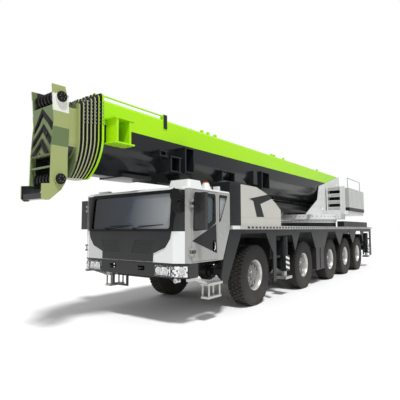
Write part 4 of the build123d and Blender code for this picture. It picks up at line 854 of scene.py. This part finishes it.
def band(outer, inner, put, depth):
    """Flat band between two outlines with as many points each."""
    made = bmesh.new()
    loops = []
    for ring, level in ((outer, 0), (inner, 0), (inner, depth), (outer, depth)):
        loops.append([made.verts.new(put(a, b, level)) for a, b in ring])
    for k in range(len(outer)):
        n = (k + 1) % len(outer)
        for i in range(4):
            here, there = loops[i], loops[(i + 1) % 4]
            made.faces.new((here[k], here[n], there[n], there[k]))
    bmesh.ops.recalc_face_normals(made, faces=made.faces)
    mesh = bpy.data.meshes.new("band")
    made.to_mesh(mesh)
    made.free()
    return mesh


def on_screen(y, z, depth):
    """Point on the raked front of the cab."""
    return (cab_front - front_rake * (z - screen_low) / (roof_z - screen_low) + 0.001 + depth, y, z)


def on_flank(side):
    """What puts a point of an outline on one flank of the cab."""
    def put(x, z, depth):
        return (x, side * (body_half + skin_gap + depth), z)
    return put


screen_outer = rounded([(-1.178, 1.688), (1.178, 1.688), (1.168, 2.443), (-1.168, 2.443)], 0.05)
screen_inner = rounded([(-1.10, 1.735), (1.10, 1.735), (1.095, 2.378), (-1.095, 2.378)], 0.06)
edges = [(band(screen_outer, screen_inner, on_screen, 0.006), black_plastic_and_painted_shade, still)]
quarter_pane = [(5.07, 1.93), (5.12, 1.88), (5.12, 2.37), (4.85, 2.37)]
quarter_outer = rounded(grown(quarter_pane, 0.022), 0.03)
quarter_inner = rounded(grown(quarter_pane, -0.022), 0.03)
for side in (1, -1):
    edges.append((band(quarter_outer, quarter_inner, on_flank(side), 0.003), black_plastic_and_painted_shade, still))
piece("cab_pane_edges", "carrier", edges)

# Door trim: a rubber profile runs round the pane, with a dark painted wedge and a black pull plate below.
# The grip is a bent chromed bar, and a silvered glass is set in the mirror blade.
door_pane = [(5.28, 1.865), (5.52, 1.755), (5.94, 1.715), (5.90, 2.37), (5.28, 2.37)]
door_outer = rounded(grown(door_pane, 0.026), 0.05)
door_inner = rounded(grown(door_pane, -0.03), 0.06)
pull_outline = rounded([(5.36, 1.30), (5.36, 1.52), (5.27, 1.52), (5.27, 1.30)], 0.04)
grip_x = 5.315
mirror_glass = finish("mirror_glass", (0.35, 0.38, 0.42), 0.05, metal=1.0, cloud=0.02, bump=0.0)
for side, name in sides:
    y = (side * (body_half + skin_gap), side * (body_half + 0.0036))
    stripe = prism([(5.99, 1.52), (5.24, 1.83), (5.22, 1.27)], y)
    pull = prism(pull_outline, y)
    near, far = side * (body_half + 0.004), side * (body_half + 0.028)
    grip_points = [(grip_x, near, 1.33), (grip_x, far, 1.36), (grip_x, far, 1.46), (grip_x, near, 1.49)]
    glass_rim = band(door_outer, door_inner, on_flank(side), 0.003)
    mirror_face = box_mesh((5.9165, 5.9195), (side * 1.53, side * 1.72), (1.75, 2.35), 0.001)
    piece(f"door_trim_{name}", f"door_{name}", [
        (glass_rim, black_plastic_and_painted_shade, still), (stripe, grey_paint, still), (pull, black_plastic_and_painted_shade, still),
        (tube_mesh(grip_points, 0.009), chrome, still), (mirror_face, mirror_glass, still),
    ])

# Wipers: two park along the foot of the windscreen, each on a black spindle.
# Each is a sprung steel arm with a rubber blade across its end.
wipers = []
spindle_z = 1.745
facing_forward = Matrix.Rotation(math.pi / 2, 4, "Y")
spindle = rod_mesh(0.024, -0.004, 0.03, 16)
for root, tip in ((0.20, 0.95), (-0.62, 0.13)):
    base = Vector(on_screen(root, spindle_z, 0.022))
    end = Vector(on_screen(tip - 0.16, 1.80, 0.030))
    bend = base.lerp(end, 0.5) + Vector((0.012, 0, 0.004))
    wipers.append((tube_mesh([base, bend, end], 0.008, 8), black_plastic_and_painted_shade, still))
    blade = [on_screen(tip - 0.62 + 0.31 * k, 1.785 + 0.012 * k, 0.016) for k in range(3)]
    wipers.append((tube_mesh(blade, 0.009, 8), black_plastic_and_painted_shade, still))
    spindle_place = Matrix.Translation(on_screen(root, spindle_z, 0)) @ facing_forward
    wipers.append((spindle, black_plastic_and_painted_shade, spindle_place))
piece("wipers", "carrier", wipers)

# Headlamps: each side is a silvered housing let into the bumper, its cut facets shown by dark patches of
# painted reflection.
# Two chromed bowls face forward and one is turned outwards, each with a bulb and a clear cover.
# The lamps on the rear frame share the facets, in red.
lens_paint = finish("lamp_housing", (0.80, 0.81, 0.82), 0.10, metal=0.3, coat=0.8, cloud=0.1, bump=0.0)
lamp_red = (0.5, 0.02, 0.015)
lamp_glass = pane("lamp_glass", (0.92, 0.94, 0.95), 0.85)
signal_orange = finish("signal_orange", (0.75, 0.16, 0.02), 0.35, cloud=0.05)
tree = lens_paint.node_tree
# Painted reflection: dark patches near the cell edges stand for facets mirroring dark surroundings.
facet_reflection_cells = add_node(tree, "ShaderNodeTexVoronoi", Scale=26.0)
tree.links.new(add_node(tree, "ShaderNodeTexCoord").outputs["Object"], facet_reflection_cells.inputs["Vector"])
shade = add_node(tree, "ShaderNodeMath", operation="GREATER_THAN")
shade.inputs[1].default_value = 0.62
tree.links.new(facet_reflection_cells.outputs["Distance"], shade.inputs[0])
overpaint(lens_paint, [shade.outputs[0]], (0.06, 0.065, 0.07))
overpaint(lens_paint, [where(tree, "X", -9, -7)], lamp_red)
dress(lens_paint, "lamps")
bowl_outline = [
    (0.0, 0.002), (0.036, 0.004), (0.056, 0.013), (0.070, 0.014), (0.074, 0.010), (0.074, 0.0), (0.0, 0.0),
]
bowl = lathe("bowl", bowl_outline, 32)
cover = lathe("cover", [(0.0, 0.020), (0.030, 0.018), (0.054, 0.013), (0.054, 0.011), (0.0, 0.017)], 28)
bulb = lathe("bulb", [(0.0, 0.014), (0.016, 0.010), (0.018, 0.0), (0.0, 0.0)], 16)
lamp_x = 6.2035
lamp_z = 0.987


def lamp_window(y, z, radius):
    """Rounded outline between two widths and two heights."""
    return rounded([(y[0], z[0]), (y[1], z[0]), (y[1], z[1]), (y[0], z[1])], radius)


def on_lamp(y, z, depth):
    """Point on the flat front of the lamp housing."""
    return (lamp_x + 0.0003 + depth, y, z)


headlamps = []
for side in (1, -1):
    for x, y, turn in ((lamp_x, 0.855, 0.0), (lamp_x, 1.015, 0.0), (6.125, 1.325, 0.50)):
        face = Matrix.Translation((x, side * y, lamp_z)) @ Matrix.Rotation(side * turn, 4, "Z")
        face = face @ facing_forward
        bulb_finish = signal_orange if turn else chrome
        headlamps += [(bowl, chrome, face), (cover, lamp_glass, face), (bulb, bulb_finish, face)]
    surround = lamp_window((side * 0.77, side * 1.15), (0.90, 1.075), 0.02)
    opening = lamp_window((side * 0.785, side * 1.135), (0.913, 1.062), 0.015)
    headlamps.append((band(surround, opening, on_lamp, 0.004), black_plastic_and_painted_shade, still))
piece("headlamp_units", "carrier", headlamps)

# Inside the cab: a moulded steering wheel with three spokes stands on its column.
# An orange plastic box hangs on the wall behind the driver.
inside = []
wheel_rim = 0.22
rim_turns = [2 * math.pi * k / 32 for k in range(32)]
rim_points = [(wheel_rim * math.cos(turn), wheel_rim * math.sin(turn), 0) for turn in rim_turns]
wheel_stand = Matrix.Translation((5.66, 0.8, 1.80)) @ Matrix.Rotation(math.radians(-35), 4, "Y")
inside.append((tube_mesh(rim_points, 0.014, 8, True), black_plastic_and_painted_shade, wheel_stand))
spoke = box_mesh((0.0, 0.215), (-0.016, 0.016), (-0.012, 0.004), 0.003)
for k in range(3):
    turn = Matrix.Rotation(2 * math.pi * k / 3, 4, "Z")
    inside.append((spoke, black_plastic_and_painted_shade, wheel_stand @ turn))
boss = lathe("boss", [(0, 0.012), (0.05, 0.008), (0.06, -0.02), (0, -0.02)], 20)
inside.append((boss, black_plastic_and_painted_shade, wheel_stand))
inside.append((tube_mesh([(5.66, 0.8, 1.79), (5.80, 0.8, 1.60)], 0.03), black_plastic_and_painted_shade, still))
inside.append((box_mesh((4.86, 5.0), (0.98, 1.20), (1.92, 2.08), 0.02), signal_orange, still))
piece("cab_controls", "carrier", inside)

# Roof: an orange beacon dome stands at the left, and the air conditioner's unit lies ahead of it.
# Nine black slats cover the unit's fan.
roof = []
beacon = lathe("beacon", [(0, 0.0), (0.055, -0.002), (0.062, -0.02), (0.062, -0.06), (0, -0.06)], 28)
roof.append((beacon, signal_orange, Matrix.Translation((5.230, 1.200, 2.655))))
fan_x = 5.67
fan_z = 2.6505
fan_slat = box_mesh((-0.14, 0.14), (-0.006, 0.006), (0, 0.004))
fan_slats = row_of(fan_slat, black_plastic_and_painted_shade, 9, (fan_x, 0.92, fan_z), (fan_x, 1.16, fan_z))
roof.append((fan_slats, black_plastic_and_painted_shade, still))
piece("roof_details", "carrier", roof)

# Front mirror: the round housing on the left corner holds a silvered glass.
# It is turned back to the driver and shows the ground ahead of the bumper.
round_glass = lathe("round_glass", [(0, 0.0025), (0.098, 0.0025), (0.098, 0.0), (0, 0.0)], 32)
glass_place = Matrix.Translation((6.2598, 1.35, 2.31)) @ Matrix.Rotation(-math.pi / 2, 4, "Y")
piece("front_mirror_glass", "carrier", [(round_glass, mirror_glass, glass_place)])

# Superstructure: white steel side plates carry the boom's foot and the operator's cab.
# It turns on a bare steel race, with black bolts under the race and round the ring above it.
dress(white_paint, "turntable", "operator_cab")
operator_door_paint = finish("operator_door_paint", (0.72, 0.73, 0.73), 0.28, coat=0.35, cloud=0.05)
dress(operator_door_paint, "operator_cab_door")
slew_x = joints["slew"]["pos_m"][0]
race = lathe("race", [(1.121, 2.02), (1.150, 2.03), (1.150, 2.085), (1.121, 2.095)], 72)
race_bolts = ring_of(rod_mesh(0.016, -0.014, 0.0, 6), black_plastic_and_painted_shade, 48, 1.136)
side_bolt = box_mesh((0.0, 0.008), (-0.013, 0.013), (-0.013, 0.013), 0.003)
side_bolts = ring_of(side_bolt, black_plastic_and_painted_shade, 44, 1.1195)
ring_parts = [
    (race, bare_steel, Matrix.Translation((slew_x, 0, 0))),
    (race_bolts, black_plastic_and_painted_shade, Matrix.Translation((slew_x, 0, 2.032))),
    (side_bolts, black_plastic_and_painted_shade, Matrix.Translation((slew_x, 0, 2.2))),
]
piece("slewing_ring_bolts", "superstructure", ring_parts)

# Steps up the superstructure: light grey sheet steel, with a plate of tread metal on each step.
# The risers are punched with three rows of round holes, drawn as black discs, and a black sheet closes the
# back, both painted shade.
step_paint = finish("step_paint", (0.70, 0.71, 0.70), 0.38, cloud=0.06)
dress(step_paint, "platform_steps")
steps_low = 2.47
step_rise = 0.27
step_count = 4
riser_x = -4.0252
# Painted shade: a black sheet behind the steps, and black discs for the riser holes.
painted_shade_back_sheet = box_mesh((-4.2635, -4.2605), (0.68, 1.16), (2.48, 3.42))
punched = [(painted_shade_back_sheet, black_plastic_and_painted_shade, still)]
hole = lathe("hole", [(0, 0.0015), (0.013, 0.0015), (0.013, 0), (0, 0)], 10)
holes = row_of(hole, black_plastic_and_painted_shade, 12, (0, 0.70, 0), (0, 1.14, 0))
for level in range(step_count):
    z = steps_low + (level + 0.5) * step_rise
    for line in range(3):
        hole_z = z - 0.105 + line * 0.036
        punched.append((holes, black_plastic_and_painted_shade, Matrix.Translation((riser_x, 0, hole_z)) @ facing_forward))
    tread_plate = box_mesh((-4.26, -4.025), (0.672, 1.168), (z, z + 0.004), 0.0015)
    punched.append((tread_plate, tread_metal, still))
piece("step_treads", "superstructure", punched)

# Counterweight: grey painted cast blocks on a dark base, with dark joints between them.
# Bent steel eyes on top of each block take the lifting chains.
weight_paint = finish("counterweight_grey_paint", (0.50, 0.51, 0.49), 0.45, cloud=0.08, bump=0.05)
overpaint(weight_paint, [where(weight_paint.node_tree, "Z", 2.4, 2.61)], charcoal)
dress(weight_paint, "counterweight")
weight_half = 1.35
joint_half = 0.004
eye_y = 1.0
eye_foot = 3.43
eye_turns = [math.pi * k / 10 for k in range(11)]
blocks = []
for side in (1, -1):
    joint_y = (side * (weight_half + 0.0002), side * (weight_half + 0.0015))
    for x in (-5.1, -5.9, -6.7):
        joint = box_mesh((x - joint_half, x + joint_half), joint_y, (2.62, 3.40))
        blocks.append((joint, black_plastic_and_painted_shade, still))
        eye = [(x + 0.05 * math.cos(t), side * eye_y, eye_foot + 0.055 * math.sin(t)) for t in eye_turns]
        blocks.append((tube_mesh(eye, 0.012), bare_steel, still))
piece("counterweight_joints", "superstructure", blocks)

# Winch: the grey steel drum is wrapped with hoist rope of bare wire.
# It is laid in even turns between the flanges and turns with the drum.
winch_place = Matrix.Translation(joints["winch_spin"]["pos_m"]) @ Matrix.Rotation(math.pi / 2, 4, "X")
rope_turns = 17
rope_ring = 0.243
rope_reach = 0.744
points_per_turn = 20
last_point = rope_turns * points_per_turn
helix = []
for k in range(last_point + 1):
    turn = 2 * math.pi * k / points_per_turn
    across = -rope_reach / 2 + rope_reach * k / last_point
    helix.append((rope_ring * math.cos(turn), rope_ring * math.sin(turn), across))
rope_finish = finish("hoist_rope", (0.16, 0.15, 0.14), 0.5, metal=0.6, cloud=0.2, grain=300, bump=0.3)
dress(grey_paint, "winch_drum")
rope = tube_mesh(helix, 0.0125, 8)
piece("hoist_rope_turns", "winch_drum", [(rope, rope_finish, winch_place)])

# Outriggers: dark grey steel beams that slide out of the frame, each with a jack of bare steel.
# White film bars slant across the marker plate on each jack's housing, and a turned pin locks it.
bar_half = 0.115
bar_height = 0.06
bar_slant = 0.06
bar_y = (1.4483, 1.4500)
marker_paint = finish("outrigger_paint", charcoal, 0.42, coat=0.15, cloud=0.16)
jack_pin = lathe("jack_pin", [(0, 0.012), (0.03, 0.010), (0.034, 0.0), (0, 0)], 20)
for place in ("front", "rear"):
    for side, name in sides:
        node = f"outrigger_{place}_{name}"
        dress(marker_paint, node)
        dress(bare_steel, f"jack_{place}_{name}")
        low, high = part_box(node)
        middle = (low[0] + high[0]) / 2
        near, far = middle - bar_half, middle + bar_half
        bars = []
        for k in range(3):
            z = 0.66 + 0.125 * k
            bar_outline = [
                (near, z), (near, z + bar_height), (far, z + bar_slant + bar_height), (far, z + bar_slant),
            ]
            bars.append((prism(bar_outline, [side * y for y in bar_y]), white_paint, still))
        pin_place = Matrix.Translation((middle, side * 1.35, 1.15))
        pin_place = pin_place @ Matrix.Rotation(-side * math.pi / 2, 4, "X")
        bars.append((jack_pin, bare_steel, pin_place))
        piece(f"outrigger_bars_{place}_{name}", node, bars)
